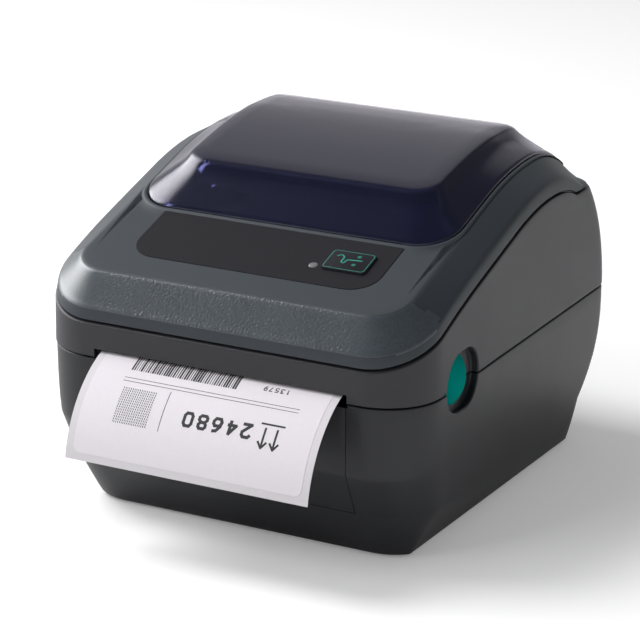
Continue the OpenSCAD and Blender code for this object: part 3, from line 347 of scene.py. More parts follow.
@dataclass(frozen=True)
class Density:
    """Points along each stretch of half an outline."""

    front: int = 12
    front_corner: int = 18
    side: int = 44
    rear_corner: int = 12
    rear: int = 12


DENSITY = Density()


def arc(u: float, v: float, r: float, start: float, turn: float, steps: int) -> list[Pair]:
    """Points of an arc.

    Args:
        u: Its centre across.
        v: Its centre along.
        r: Its radius.
        start: Its first angle in degrees.
        turn: How many degrees it goes on.
        steps: Number of its stretches.

    Returns:
        One point more than stretches.
    """
    angles = [math.radians(start + turn * k / steps) for k in range(steps + 1)]
    return [(u + r * math.cos(a), v + r * math.sin(a)) for a in angles]


def circle(u: float, v: float, r: float, sides: int, shift: float = 0.0) -> list[Pair]:
    """Points around a circle, turned by a share of one side."""
    angles = [2 * math.pi * (k + shift) / sides for k in range(sides)]
    return [(u + r * math.cos(a), v + r * math.sin(a)) for a in angles]


def outline(hw: float, y0: float, y1: float, rf: float, rr: float) -> list[Pair]:
    """Full rounded outline, anticlockwise from the middle of its front.

    Args:
        hw: Half of its width.
        y0: Its front.
        y1: Its rear.
        rf: Radius of the front corners.
        rr: Radius of the rear corners.

    Returns:
        Points in X and Y, as many for any size.
    """
    d = DENSITY
    half = [((hw - rf) * k / d.front, y0) for k in range(d.front)]
    half += arc(hw - rf, y0 + rf, rf, -90, 90, d.front_corner)
    half += [(hw, y0 + rf + (y1 - rr - y0 - rf) * k / d.side) for k in range(1, d.side)]
    half += arc(hw - rr, y1 - rr, rr, 0, 90, d.rear_corner)
    half += [((hw - rr) * (1 - k / d.rear), y1) for k in range(1, d.rear + 1)]
    return half + [(-x, y) for x, y in reversed(half[1:-1])]


# --- Mesh helpers ---------------------------------------------------------


def make_piece(name: str, points: Iterable[Sequence[float]], faces: Iterable[Sequence[int]]) -> Piece:
    """Make a smooth mesh object at the origin from points in millimetres.

    Args:
        name: Name of the piece.
        points: Corner points.
        faces: Corner numbers of each face.

    Returns:
        The object.
    """
    mesh = bpy.data.meshes.new(name)
    mesh.from_pydata([tuple(c * MM for c in p) for p in points], [], [tuple(f) for f in faces])
    mesh.validate()
    return soften(show(bpy.data.objects.new(name, mesh)))


def show(thing: Piece) -> Piece:
    """Put an object into the scene."""
    bpy.context.scene.collection.objects.link(thing)
    return thing


def soften(piece: Piece, angle: float = 32.0) -> Piece:
    """Shade a piece smooth and keep the edges above an angle in degrees sharp.

    Args:
        piece: The piece.
        angle: Greatest angle in degrees that is shaded smooth.

    Returns:
        The piece.
    """
    piece.data.shade_smooth()
    piece.data.set_sharp_from_angle(angle=math.radians(angle))
    return piece


def turn_out(piece: Piece, angle: float = 32.0) -> Piece:
    """Turn the faces of a closed mesh outwards and soften it.

    Args:
        piece: A closed mesh.
        angle: Edges above this many degrees stay sharp.

    Returns:
        The piece.
    """
    work = bmesh.new()
    work.from_mesh(piece.data)
    bmesh.ops.recalc_face_normals(work, faces=work.faces)
    work.to_mesh(piece.data)
    work.free()
    return soften(piece, angle)


def delete(piece: Piece) -> None:
    """Delete a helper object with its mesh.

    Args:
        piece: The helper object.
    """
    mesh = piece.data
    bpy.data.objects.remove(piece)
    bpy.data.meshes.remove(mesh)


def settle(piece: Piece) -> Piece:
    """Apply all modifiers of a piece to its mesh.

    Args:
        piece: A piece with modifiers.

    Returns:
        The piece.
    """
    old = piece.data
    piece.data = bpy.data.meshes.new_from_object(piece.evaluated_get(bpy.context.evaluated_depsgraph_get()))
    piece.modifiers.clear()
    piece.data.name = piece.name
    bpy.data.meshes.remove(old)
    return piece


class Cut(Enum):
    """What a Boolean does with its cutter."""

    AWAY = "DIFFERENCE"
    KEEP = "INTERSECT"
    JOIN = "UNION"


def carve(piece: Piece, cutters: Iterable[Piece], how: Cut = Cut.AWAY) -> Piece:
    """Cut helpers out of a piece, or keep or join them, and delete the helpers.

    Args:
        piece: The piece that changes.
        cutters: Closed helper objects.
        how: What is done with each helper.

    Returns:
        The changed piece.
    """
    helpers = list(cutters)
    for helper in helpers:
        cut = piece.modifiers.new("cut", "BOOLEAN")
        cut.operation = how.value
        cut.solver = "MANIFOLD"
        cut.object = helper
    settle(piece)
    for helper in helpers:
        delete(helper)
    return soften(piece)


def loft(name: str, loops: Sequence[Loop], ring: bool = False, caps: bool = True) -> Piece:
    """Skin closed loops of equal length.

    Args:
        name: Name of the piece.
        loops: Loops in order, outside going up.
        ring: Whether the last loop joins the first, as in a closed wall.
        caps: Whether the first and last loop are closed by a face.

    Returns:
        The skinned object.
    """
    n = len(loops[0])
    rows = len(loops)
    points = [p for loop in loops for p in loop]
    faces: list[list[int]] = []
    for r in range(rows if ring else rows - 1):
        low, high = r * n, ((r + 1) % rows) * n
        faces += [[low + k, low + (k + 1) % n, high + (k + 1) % n, high + k] for k in range(n)]
    if caps and not ring:
        faces.append(list(range(n - 1, -1, -1)))
        faces.append([(rows - 1) * n + k for k in range(n)])
    return make_piece(name, points, faces)


def rounded_rows(rings: Sequence[Loop], cuts: Sequence[float], splits: Sequence[int],
                 closed: bool = True, steps: int = 4) -> list[Loop]:
    """Round the corners of a profile that every place of the outline has.

    Args:
        rings: The profile's corners, one loop each.
        cuts: Distance from each corner at which its rounding starts; 0 keeps it sharp.
        splits: How many stretches each straight run to the next corner gets.
        closed: Whether the profile returns to its first corner.
        steps: Stretches of each rounding.

    Returns:
        The loops of the rounded profile.
    """
    count = len(rings)

    def corner(k: int, j: int) -> tuple[Vector, Vector, Vector]:
        """Start, corner and end of one rounding.

        Args:
            k: Place on the outline.
            j: Corner of the profile.

        Returns:
            Three points, all the same for a sharp corner.
        """
        here = rings[j][k]
        if cuts[j] <= 0 or (not closed and j in (0, count - 1)):
            return here, here, here
        ways = (rings[j - 1][k] - here, rings[(j + 1) % count][k] - here)
        entry, leave = (here + way.normalized() * min(cuts[j], way.length * 0.49) for way in ways)
        return entry, here, leave

    columns: list[Loop] = []
    for k in range(len(rings[0])):
        corners = [corner(k, j) for j in range(count)]
        column: Loop = []
        for j, (entry, here, leave) in enumerate(corners):
            if entry is here:
                column.append(here)
            else:
                for t in (s / steps for s in range(steps + 1)):
                    column.append(entry * (1 - t) ** 2 + here * 2 * t * (1 - t) + leave * t**2)
            if j < count - 1 or closed:
                following = corners[(j + 1) % count][0]
                column += [leave.lerp(following, s / splits[j]) for s in range(1, splits[j])]
        columns.append(column)
    return [[column[r] for column in columns] for r in range(len(columns[0]))]


def box(low: Sequence[float], high: Sequence[float]) -> Piece:
    """Make a box between two corners in millimetres, for cutting and joining.

    Args:
        low: Its lowest corner.
        high: Its highest corner.

    Returns:
        The box.
    """
    points = [(x, y, z) for z in (low[2], high[2]) for y in (low[1], high[1]) for x in (low[0], high[0])]
    faces = [(0, 2, 3, 1), (4, 5, 7, 6), (0, 1, 5, 4), (2, 6, 7, 3), (0, 4, 6, 2), (1, 3, 7, 5)]
    return make_piece("box", points, faces)


def span(side: int, near: float, far: float) -> Pair:
    """Two places on the side with this sign, the lesser first."""
    return (min(side * near, side * far), max(side * near, side * far))


def prism(name: str, loops: Sequence[Sequence[Triple]]) -> Piece:
    """Skin stacked flat loops and turn the result's faces outwards."""
    return turn_out(loft(name, [[Vector(p) for p in loop] for loop in loops]))


def rod(name: str, r: float, ends: Pair, axis: Pair, sides: int = 48, edge: float = 0.0,
        upright: bool = False) -> Piece:
    """Make a round bar along X, or an upright one, with softened ends.

    Args:
        name: Name of the piece.
        r: Its radius.
        ends: Places of its two ends.
        axis: Y and Z of its axis, or X and Y of an upright one.
        sides: Faces around it.
        edge: Rounding of its ends.
        upright: Whether it stands along Z.

    Returns:
        The closed bar.
    """
    stations = [(ends[0], r), (ends[1], r)]
    if edge:
        stations = [(ends[0], r - edge), (ends[0] + edge, r), (ends[1] - edge, r), (ends[1], r - edge)]
    return prism(name, [[(u, v, at) if upright else (at, u, v) for u, v in circle(*axis, size, sides)]
                        for at, size in stations])


def join(name: str, pieces: Sequence[Piece]) -> Piece:
    """Join separate pieces into one object.

    Args:
        name: Name of the result.
        pieces: The pieces, which are deleted.

    Returns:
        One object with every piece's mesh and materials.
    """
    work = bmesh.new()
    mesh = bpy.data.meshes.new(name)
    for piece in pieces:
        slots = []
        for material in piece.data.materials:
            if material and material.name not in mesh.materials:
                mesh.materials.append(material)
            slots.append(mesh.materials.find(material.name) if material else 0)
        for face in piece.data.polygons:
            face.material_index = slots[face.material_index] if slots else 0
        work.from_mesh(piece.data)
        delete(piece)
    work.to_mesh(mesh)
    work.free()
    return soften(show(bpy.data.objects.new(name, mesh)))


def dress(piece: Piece, *materials: Material) -> Piece:
    """Give a piece its materials.

    Args:
        piece: The piece.
        materials: Its materials in the order of their slots.

    Returns:
        The piece.
    """
    piece.data.materials.clear()
    for material in materials:
        piece.data.materials.append(material)
    return piece


def seat(piece: Piece, body: str, node: str) -> None:
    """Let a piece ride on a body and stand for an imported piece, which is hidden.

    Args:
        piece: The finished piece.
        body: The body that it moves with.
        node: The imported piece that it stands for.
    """
    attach(piece, body)
    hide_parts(node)
    LOG.info("%s: %d faces", piece.name, len(piece.data.polygons))


# --- Finishes -------------------------------------------------------------


class Nodes:
    """Fills the node tree of a material, a background or a repeated shape."""

    def __init__(self, tree: bpy.types.NodeTree) -> None:
        """Start with an empty tree."""
        self.tree = tree
        self.tree.nodes.clear()

    def add(self, kind: str, settings: dict[str, object] | None = None, **sockets: object) -> bpy.types.Node:
        """Add a node.

        Args:
            kind: Node type; "ShaderNode" is put before the type of a shader's node.
            settings: Properties of the node.
            sockets: Values or sockets by input name, spaces written as underscores, or i0, i1 for a place.

        Returns:
            The node.
        """
        node = self.tree.nodes.new(kind if kind.startswith(("Geometry", "Function")) else "ShaderNode" + kind)
        for key, value in (settings or {}).items():
            setattr(node, key, value)
        for key, value in sockets.items():
            by_place = key[0] == "i" and key[1:].isdigit()
            socket = node.inputs[int(key[1:]) if by_place else key.replace("_", " ")]
            if isinstance(value, Socket):
                self.tree.links.new(value, socket)
            else:
                socket.default_value = value
        return node

    def math(self, operation: str, *values: object) -> Socket:
        """Add a Math node and return its result."""
        inputs = {f"i{k}": value for k, value in enumerate(values)}
        return self.add("Math", {"operation": operation}, **inputs).outputs[0]

    def place(self) -> Socket:
        """Object coordinates."""
        return self.add("TexCoord").outputs["Object"]

    def noise(self, vector: Socket, scale: float, detail: float, **sockets: object) -> Socket:
        """Strength of a noise of this scale and detail."""
        return self.add("TexNoise", None, Vector=vector, Scale=scale, Detail=detail, **sockets).outputs["Fac"]

    def ramp(self, factor: object, *stops: tuple[float, Sequence[float]]) -> Socket:
        """Add a colour ramp.

        Args:
            factor: Value or socket that picks the colour.
            stops: Positions with linear colours.

        Returns:
            The colour socket.
        """
        node = self.add("ValToRGB", None, Fac=factor)
        band = node.color_ramp
        while len(band.elements) < len(stops):
            band.elements.new(0.5)
        for element, (at, colour) in zip(band.elements, stops):
            element.position = at
            element.color = (*colour[:3], 1.0)
        return node.outputs["Color"]

    def smooth_map(self, value: Socket, before: Pair, after: Pair) -> Socket:
        """Map one range smoothly to another and hold the ends."""
        return self.add("MapRange", {"interpolation_type": "SMOOTHSTEP"}, Value=value, From_Min=before[0],
                        From_Max=before[1], To_Min=after[0], To_Max=after[1]).outputs[0]

    def relief(self, height: object, strength: float, depth_mm: float) -> Socket:
        """Normal of a fine relief of a strength and a depth in millimetres."""
        bump = self.add("Bump", None, Strength=strength, Distance=depth_mm * MM, Height=height)
        return bump.outputs["Normal"]


@dataclass(frozen=True)
class Finish:
    """A material with a name and a linear colour."""

    name: str
    colour: Triple

    def shade(self, n: Nodes) -> bpy.types.Node:
        """Add the nodes to an empty tree and return the shader."""
        raise NotImplementedError

    def make(self) -> Material:
        """Build the material.

        Returns:
            The material.
        """
        material = bpy.data.materials.new(self.name)
        material.use_nodes = True
        n = Nodes(material.node_tree)
        out = n.add("OutputMaterial")
        n.tree.links.new(self.shade(n).outputs[0], out.inputs["Surface"])
        return material

    def tone(self, factor: float) -> Triple:
        """The colour made lighter or darker."""
        r, g, b = (min(1.0, c * factor) for c in self.colour)
        return (r, g, b)


def rgb(code: str) -> Triple:
    """Linear colour of a screen colour such as "3a4148".

    Args:
        code: Six hexadecimal digits.

    Returns:
        Red, green and blue.
    """
    parts = [int(code[k:k + 2], 16) / 255 for k in (0, 2, 4)]
    linear = [c / 12.92 if c <= 0.04045 else ((c + 0.055) / 1.055) ** 2.4 for c in parts]
    return (linear[0], linear[1], linear[2])


@dataclass(frozen=True)
class MouldedPlastic(Finish):
    """Moulded plastic with a spark-eroded grain."""

    roughness: float = 0.5
    grain_mm: float = 0.6
    grain_depth: float = 0.02
    mottle: float = 0.06
    specular: float = 0.5
    fade_mm: Pair | None = None

    def shade(self, n: Nodes) -> bpy.types.Node:
        """Add the nodes.

        Args:
            n: The material's empty tree.

        Returns:
            The shader.
        """
        place = n.place()
        cells = n.add("TexVoronoi", {"feature": "SMOOTH_F1"}, Vector=place, Scale=1000 / self.grain_mm,
                      Smoothness=0.6, Randomness=1.0).outputs["Distance"]
        fine = n.noise(place, 2200 / self.grain_mm, 2.0)
        height = n.add("Mix", {"data_type": "FLOAT"}, Factor=0.35, i2=cells, i3=fine).outputs[0]
        if self.fade_mm:
            across = n.add("SeparateXYZ", None, Vector=place).outputs["X"]
            near, far = (v * MM for v in self.fade_mm)
            fade = n.smooth_map(n.math("ABSOLUTE", across), (near, far), (1.0, 0.0))
            height = n.math("MULTIPLY", height, fade)
        broad = n.noise(place, 38.0, 3.0)
        speck = n.math("MULTIPLY_ADD", cells, self.mottle * 2.5, n.math("MULTIPLY", broad, self.mottle))
        colour = n.ramp(n.math("ADD", speck, 0.5 - self.mottle * 1.3),
                        (0.25, self.tone(0.72)), (0.5, self.colour), (0.75, self.tone(1.3)))
        rough = n.math("MULTIPLY_ADD", broad, 0.08, self.roughness - 0.04)
        return n.add("BsdfPrincipled", None, Base_Color=colour, Roughness=rough,
                     Specular_IOR_Level=self.specular, Normal=n.relief(height, 1.0, self.grain_depth))


@dataclass(frozen=True)
class SmokedPlastic(Finish):
    """Clear plastic with a dark tint and a polished skin."""

    tint: Triple
    cover: float = 0.5

    def shade(self, n: Nodes) -> bpy.types.Node:
        """Add the nodes.

        Args:
            n: The material's empty tree.

        Returns:
            The shader.
        """
        ripple = n.relief(n.noise(n.place(), 9.0, 1.0), 0.25, 0.2)
        clear = n.add("BsdfTransparent", None, Color=(*self.tint, 1.0))
        skin = n.add("BsdfPrincipled", None, Base_Color=(*self.colour, 1.0), Roughness=0.3, IOR=1.5)
        wall = n.add("MixShader", None, Fac=self.cover, i1=clear.outputs[0], i2=skin.outputs[0])
        gloss = n.add("BsdfAnisotropic", None, Color=(0.95, 0.92, 1.0, 1.0), Roughness=0.05, Normal=ripple)
        edge = n.add("Fresnel", None, IOR=1.5)
        return n.add("MixShader", None, Fac=edge.outputs[0], i1=wall.outputs[0], i2=gloss.outputs[0])


@dataclass(frozen=True)
class PolishedPlastic(Finish):
    """Bright moulded plastic with a gloss and a faint flow mark."""

    roughness: float = 0.16
    specular: float = 0.5
    coat: float = 0.4

    def shade(self, n: Nodes) -> bpy.types.Node:
        """Add the nodes.

        Args:
            n: The material's empty tree.

        Returns:
            The shader.
        """
        flow = n.noise(n.place(), 60.0, 2.0)
        colour = n.ramp(flow, (0.3, self.tone(0.85)), (0.7, self.tone(1.12)))
        return n.add("BsdfPrincipled", None, Base_Color=colour, Roughness=self.roughness,
                     Specular_IOR_Level=self.specular, Coat_Weight=self.coat, Coat_Roughness=0.08,
                     Normal=n.relief(flow, 0.3, 0.05))


@dataclass(frozen=True)
class Paper(Finish):
    """Coated label paper with faint fibres."""

    roughness: float = 0.55

    def shade(self, n: Nodes) -> bpy.types.Node:
        """Add the nodes.

        Args:
            n: The material's empty tree.

        Returns:
            The shader.
        """
        fibre = n.noise(n.place(), 900.0, 4.0, Distortion=1.5)
        colour = n.ramp(fibre, (0.3, self.tone(0.96)), (0.7, self.colour))
        return n.add("BsdfPrincipled", None, Base_Color=colour, Roughness=self.roughness,
                     Normal=n.relief(fibre, 0.4, 0.01))


@dataclass(frozen=True)
class WoundPaper(Finish):
    """Edge of many wound layers around an axis along X."""

    axis_y: float
    axis_z: float
    pitch_mm: float = 0.9

    def shade(self, n: Nodes) -> bpy.types.Node:
        """Add the nodes.

        Args:
            n: The material's empty tree.

        Returns:
            The shader.
        """
        shift = n.add("Mapping", None, Vector=n.place(), Location=(0.0, -self.axis_y * MM, -self.axis_z * MM))
        parts = n.add("SeparateXYZ", None, Vector=shift.outputs[0]).outputs
        square = n.math("ADD", n.math("POWER", parts["Y"], 2.0), n.math("POWER", parts["Z"], 2.0))
        line = n.math("FRACT", n.math("DIVIDE", n.math("SQRT", square), self.pitch_mm * MM))
        colour = n.ramp(line, (0.0, self.tone(0.78)), (0.25, self.colour), (0.9, self.tone(0.97)))
        return n.add("BsdfPrincipled", None, Base_Color=colour, Roughness=0.7,
                     Normal=n.relief(line, 0.5, 0.05))


@dataclass(frozen=True)
class Metal(Finish):
    """Machined or plated metal with fine lines along X."""

    roughness: float = 0.3
    line: Triple = (40.0, 2500.0, 2500.0)

    def shade(self, n: Nodes) -> bpy.types.Node:
        """Add the nodes.

        Args:
            n: The material's empty tree.

        Returns:
            The shader.
        """
        stretch = n.add("Mapping", None, Vector=n.place(), Scale=self.line)
        brush = n.noise(stretch.outputs[0], 1.0, 3.0)
        colour = n.ramp(brush, (0.3, self.tone(0.82)), (0.7, self.tone(1.08)))
        rough = n.math("MULTIPLY_ADD", brush, 0.15, self.roughness - 0.07)
        return n.add("BsdfPrincipled", None, Base_Color=colour, Metallic=1.0, Roughness=rough,
                     Normal=n.relief(brush, 0.3, 0.01))


@dataclass(frozen=True)
class CircuitBoard(Finish):
    """Green board with faint tracks under its varnish."""

    def shade(self, n: Nodes) -> bpy.types.Node:
        """Add the nodes.

        Args:
            n: The material's empty tree.

        Returns:
            The shader.
        """
        place = n.place()
        tracks = n.add("TexBrick", {"offset": 0.37}, Vector=place, Scale=150.0, Mortar_Size=0.03,
                       Color1=(*self.colour, 1.0), Color2=(*self.tone(0.8), 1.0),
                       Mortar=(*self.tone(2.2), 1.0))
        return n.add("BsdfPrincipled", None, Base_Color=tracks.outputs["Color"], Roughness=0.35,
                     Normal=n.relief(n.noise(place, 500.0, 2.0), 0.3, 0.03))


@dataclass(frozen=True)
class StudioFloor(Finish):
    """Pale floor that keeps the shadow and shows white beside it."""

    lift: float = 0.0

    def shade(self, n: Nodes) -> bpy.types.Node:
        """Add the nodes.

        Args:
            n: The material's empty tree.

        Returns:
            The shader.
        """
        colour = n.ramp(n.noise(n.place(), 6.0, 2.0), (0.0, self.tone(0.995)), (1.0, self.colour))
        diffuse = n.add("BsdfDiffuse", None, Color=colour, Roughness=0.5)
        seen = n.math("MULTIPLY", n.add("LightPath").outputs["Is Camera Ray"], self.lift)
        glow = n.add("Emission", None, Color=(1.0, 1.0, 1.0, 1.0), Strength=seen)
        return n.add("AddShader", None, i0=diffuse.outputs[0], i1=glow.outputs[0])


class Finishes:
    """Every finish of the printer, made once."""

    def __init__(self) -> None:
        """Build the materials."""
        # The lower case's plastic is darker than the lid's sides: partly its own near-black tone, partly
        # painted shade for its lower walls, which lean inwards and catch little light.
        self.case = MouldedPlastic("case_plastic", rgb("15161b"), 0.42, 0.55, 0.012, 0.05).make()
        self.lid_side = MouldedPlastic("lid_side_plastic", rgb("242429"), 0.46, 0.55, 0.012, 0.05).make()
        self.cover = MouldedPlastic("cover_plastic", rgb("2a3036"), 0.5, 0.5, 0.01, 0.03).make()
        # The slope's plastic: the grain is the real surface, while its colour, lighter than the cover's, is
        # painted sheen for the light that the slope catches.
        self.grain_and_sheen_cover = MouldedPlastic("grain_and_painted_sheen_plastic", rgb("30373d"), 0.35, 0.9, 0.21, 0.3, 1.0,
                                            (50.0, 68.0)).make()
        self.overlay = MouldedPlastic("overlay_film", rgb("1a1a1e"), 0.6, 0.5, 0.012, 0.2, 0.15).make()
        self.grey = MouldedPlastic("inner_grey_plastic", rgb("44474b"), 0.55, 0.8, 0.02, 0.05).make()
        self.black = MouldedPlastic("black_plastic", rgb("1c1d20"), 0.42, 0.5, 0.012, 0.06).make()
        self.nylon = MouldedPlastic("nylon", rgb("e4dfd2"), 0.4, 0.5, 0.01, 0.04).make()
        self.rubber = MouldedPlastic("rubber", rgb("1d1d1e"), 0.75, 0.9, 0.03, 0.08, 0.3).make()
        self.ceramic = PolishedPlastic("ceramic", rgb("bfae87"), 0.2).make()
        self.motor = PolishedPlastic("motor_paint", rgb("80848a"), 0.35).make()
        self.teal = PolishedPlastic("teal_plastic", rgb("048078"), 0.3, 0.0, 0.0).make()
        self.teal_print = PolishedPlastic("teal_print", rgb("1f8f80"), 0.45).make()
        self.lens = PolishedPlastic("light_lens", rgb("6c6e70"), 0.4, 0.4, 0.0).make()
        self.window = SmokedPlastic("smoked_window", rgb("161c42"), (0.26, 0.27, 0.4), 0.3).make()
        self.paper = Paper("label_paper", rgb("ddd8de")).make()
        self.liner = Paper("liner_paper", rgb("d2ced3")).make()
        self.ink = Paper("print_black", rgb("2b2b2e"), 0.6).make()
        self.wound = WoundPaper("wound_paper", rgb("efeeea"), 35.5, 72.0).make()
        self.cardboard = WoundPaper("cardboard", rgb("b09068"), 35.5, 72.0, 0.6).make()
        self.steel = Metal("steel", rgb("c3c6ca")).make()
        self.aluminium = Metal("aluminium", rgb("b4b7bb"), 0.4).make()
        self.brass = Metal("brass", rgb("c9a75a"), 0.35).make()
        self.board = CircuitBoard("circuit_board", rgb("1f6b45")).make()


# --- Geometry Nodes -------------------------------------------------------


class Repeat(Nodes):
    """A Geometry Nodes tree that makes a repeated shape, applied to a plain mesh."""

    def __init__(self, name: str) -> None:
        """Start a tree with one geometry output.

        Args:
            name: Name of the tree and of its result.
        """
        super().__init__(bpy.data.node_groups.new(name, "GeometryNodeTree"))
        self.tree.interface.new_socket("Geometry", in_out="OUTPUT", socket_type="NodeSocketGeometry")
        self.inputs = self.tree.nodes.new("NodeGroupInput")
        self.output = self.tree.nodes.new("NodeGroupOutput")
        self.ids: dict[str, str] = {}

    def size(self, name: str, value: float | int) -> Socket:
        """Add a named input and return its socket inside the tree.

        Args:
            name: Name of the input.
            value: Its value before the tree is used.

        Returns:
            The socket.
        """
        kind = "NodeSocketInt" if isinstance(value, int) else "NodeSocketFloat"
        item = self.tree.interface.new_socket(name, in_out="INPUT", socket_type=kind)
        item.default_value = value
        self.ids[name] = item.identifier
        return next(s for s in self.inputs.outputs if s.identifier == item.identifier)

    def vector(self, x: object = 0.0, y: object = 0.0, z: object = 0.0) -> Socket:
        """Combine three numbers into a vector."""
        return self.add("CombineXYZ", None, X=x, Y=y, Z=z).outputs[0]

    def build(self, geometry: Socket, material: Material, **sizes: float | int) -> Piece:
        """Finish the tree, run it once and return its result as a plain mesh object.

        Args:
            geometry: What the tree makes.
            material: Finish of the result.
            sizes: Values of the named inputs.

        Returns:
            A mesh object without modifiers.
        """
        real = self.add("GeometryNodeRealizeInstances", None, Geometry=geometry)
        done = self.add("GeometryNodeSetMaterial", None, Geometry=real.outputs[0], Material=material)
        self.tree.links.new(done.outputs[0], self.output.inputs[0])
        name = self.tree.name
        holder = show(bpy.data.objects.new(name, bpy.data.meshes.new(name)))
        modifier = holder.modifiers.new(name, "NODES")
        modifier.node_group = self.tree
        for key, value in sizes.items():
            modifier[self.ids[key]] = value
        return settle(holder)


# --- Lower case -----------------------------------------------------------


def case_loop(z: float, inset: float) -> Loop:
    """Outline of the lower case at a height.

    Args:
        z: The height.
        inset: How far the loop lies inside the skin.

    Returns:
        The loop, held back by the sloping skirt.
    """
    form = FORM
    points = outline(form.case_half(z) - inset, form.case_front(z) + inset, form.case_rear(z) - inset,
                     form.case_corner(z) - inset, form.rear_corner_r - inset)
    limits = [form.skirt_limit(y, z) - inset for _, y in points]
    return [Vector((math.copysign(min(abs(x), limit), x), y, z)) for (x, y), limit in zip(points, limits)]


@dataclass
class SideDish:
    """Round dish in the side walls, in which a latch button slides."""

    latch_y: float = FORM.front_y + 42.5
    latch_z: float = FORM.parting_z + 2.5
    button_r: float = 10.5
    depth: float = 3.5
    arm: float = 27.0
    swing: float = 12.0
    edge: float = 0.5
    floor_t: float = 1.2
    neck_r: float = 4.4
    rim_w: float = 0.9
    rim_in: float = 0.55
    fit: float = 0.02
    reach: float = 40.0
    sides: int = 40

    @property
    def slide(self) -> float:
        """Way of the button to the rear."""
        return self.arm * math.sin(math.radians(self.swing))

    @property
    def r(self) -> float:
        """Radius of the dish."""
        return self.button_r + 2

    @property
    def z(self) -> float:
        """Height of the dish's centre."""
        return self.latch_z - 0.8

    def ring(self, side: int, r: float, x: float) -> Loop:
        """Round loop at a distance from the middle, stretched by the button's way to the rear."""
        points = circle(self.latch_y, self.z, r, self.sides, 0.5)
        return [Vector((side * x, y + (self.slide if y > self.latch_y else 0.0), z)) for y, z in points]

    def cutter(self, side: int) -> Piece:
        """Space of the dish at the side with this sign, flared where it meets the skin.

        Args:
            side: 1 for the right side, -1 for the left.

        Returns:
            The closed cutter.
        """
        hw = FORM.half_w
        stations = [(hw - self.depth - 6, self.r), (hw - self.edge, self.r),
                    (hw + self.edge, self.r + 2 * self.edge)]
        return prism("dish_cut", [self.ring(side, r, x) for x, r in stations])

    def cup(self, side: int, low: float, high: float) -> Piece:
        """Lining of the dish between two heights.

        Args:
            side: 1 for the right side, -1 for the left.
            low: Lowest height kept.
            high: Greatest height kept.

        Returns:
            The cup with its floor and the slot for the latch's neck.
        """
        hw = FORM.half_w
        rim_x, floor_x = hw - self.rim_in, hw - self.depth
        rim_r, bore_r, under_x = self.r + self.rim_w, self.r + self.fit, floor_x - self.floor_t
        profile = [(rim_r, rim_x), (bore_r, rim_x), (bore_r, floor_x), (0.4, floor_x), (0.4, under_x),
                   (rim_r, under_x)]
        rings = [self.ring(side, r, x) for r, x in profile]
        rows = rounded_rows(rings, [0, 0.2, 0.9, 0, 0, 0], [1, 2, 3, 1, 3, 1], steps=3)
        x0, x1 = span(side, floor_x - 3, floor_x + 0.6)
        slot = box((x0, self.latch_y - self.neck_r, self.latch_z - self.neck_r - 1),
                   (x1, self.latch_y + self.slide + self.neck_r, self.latch_z + self.neck_r))
        keep = box((-hw - 5, self.latch_y - self.reach, low), (hw + 5, self.latch_y + self.reach, high))
        cup = carve(turn_out(loft("cup", rows, ring=True)), [slot])
        return carve(cup, [keep], Cut.KEEP)


DISH = SideDish()


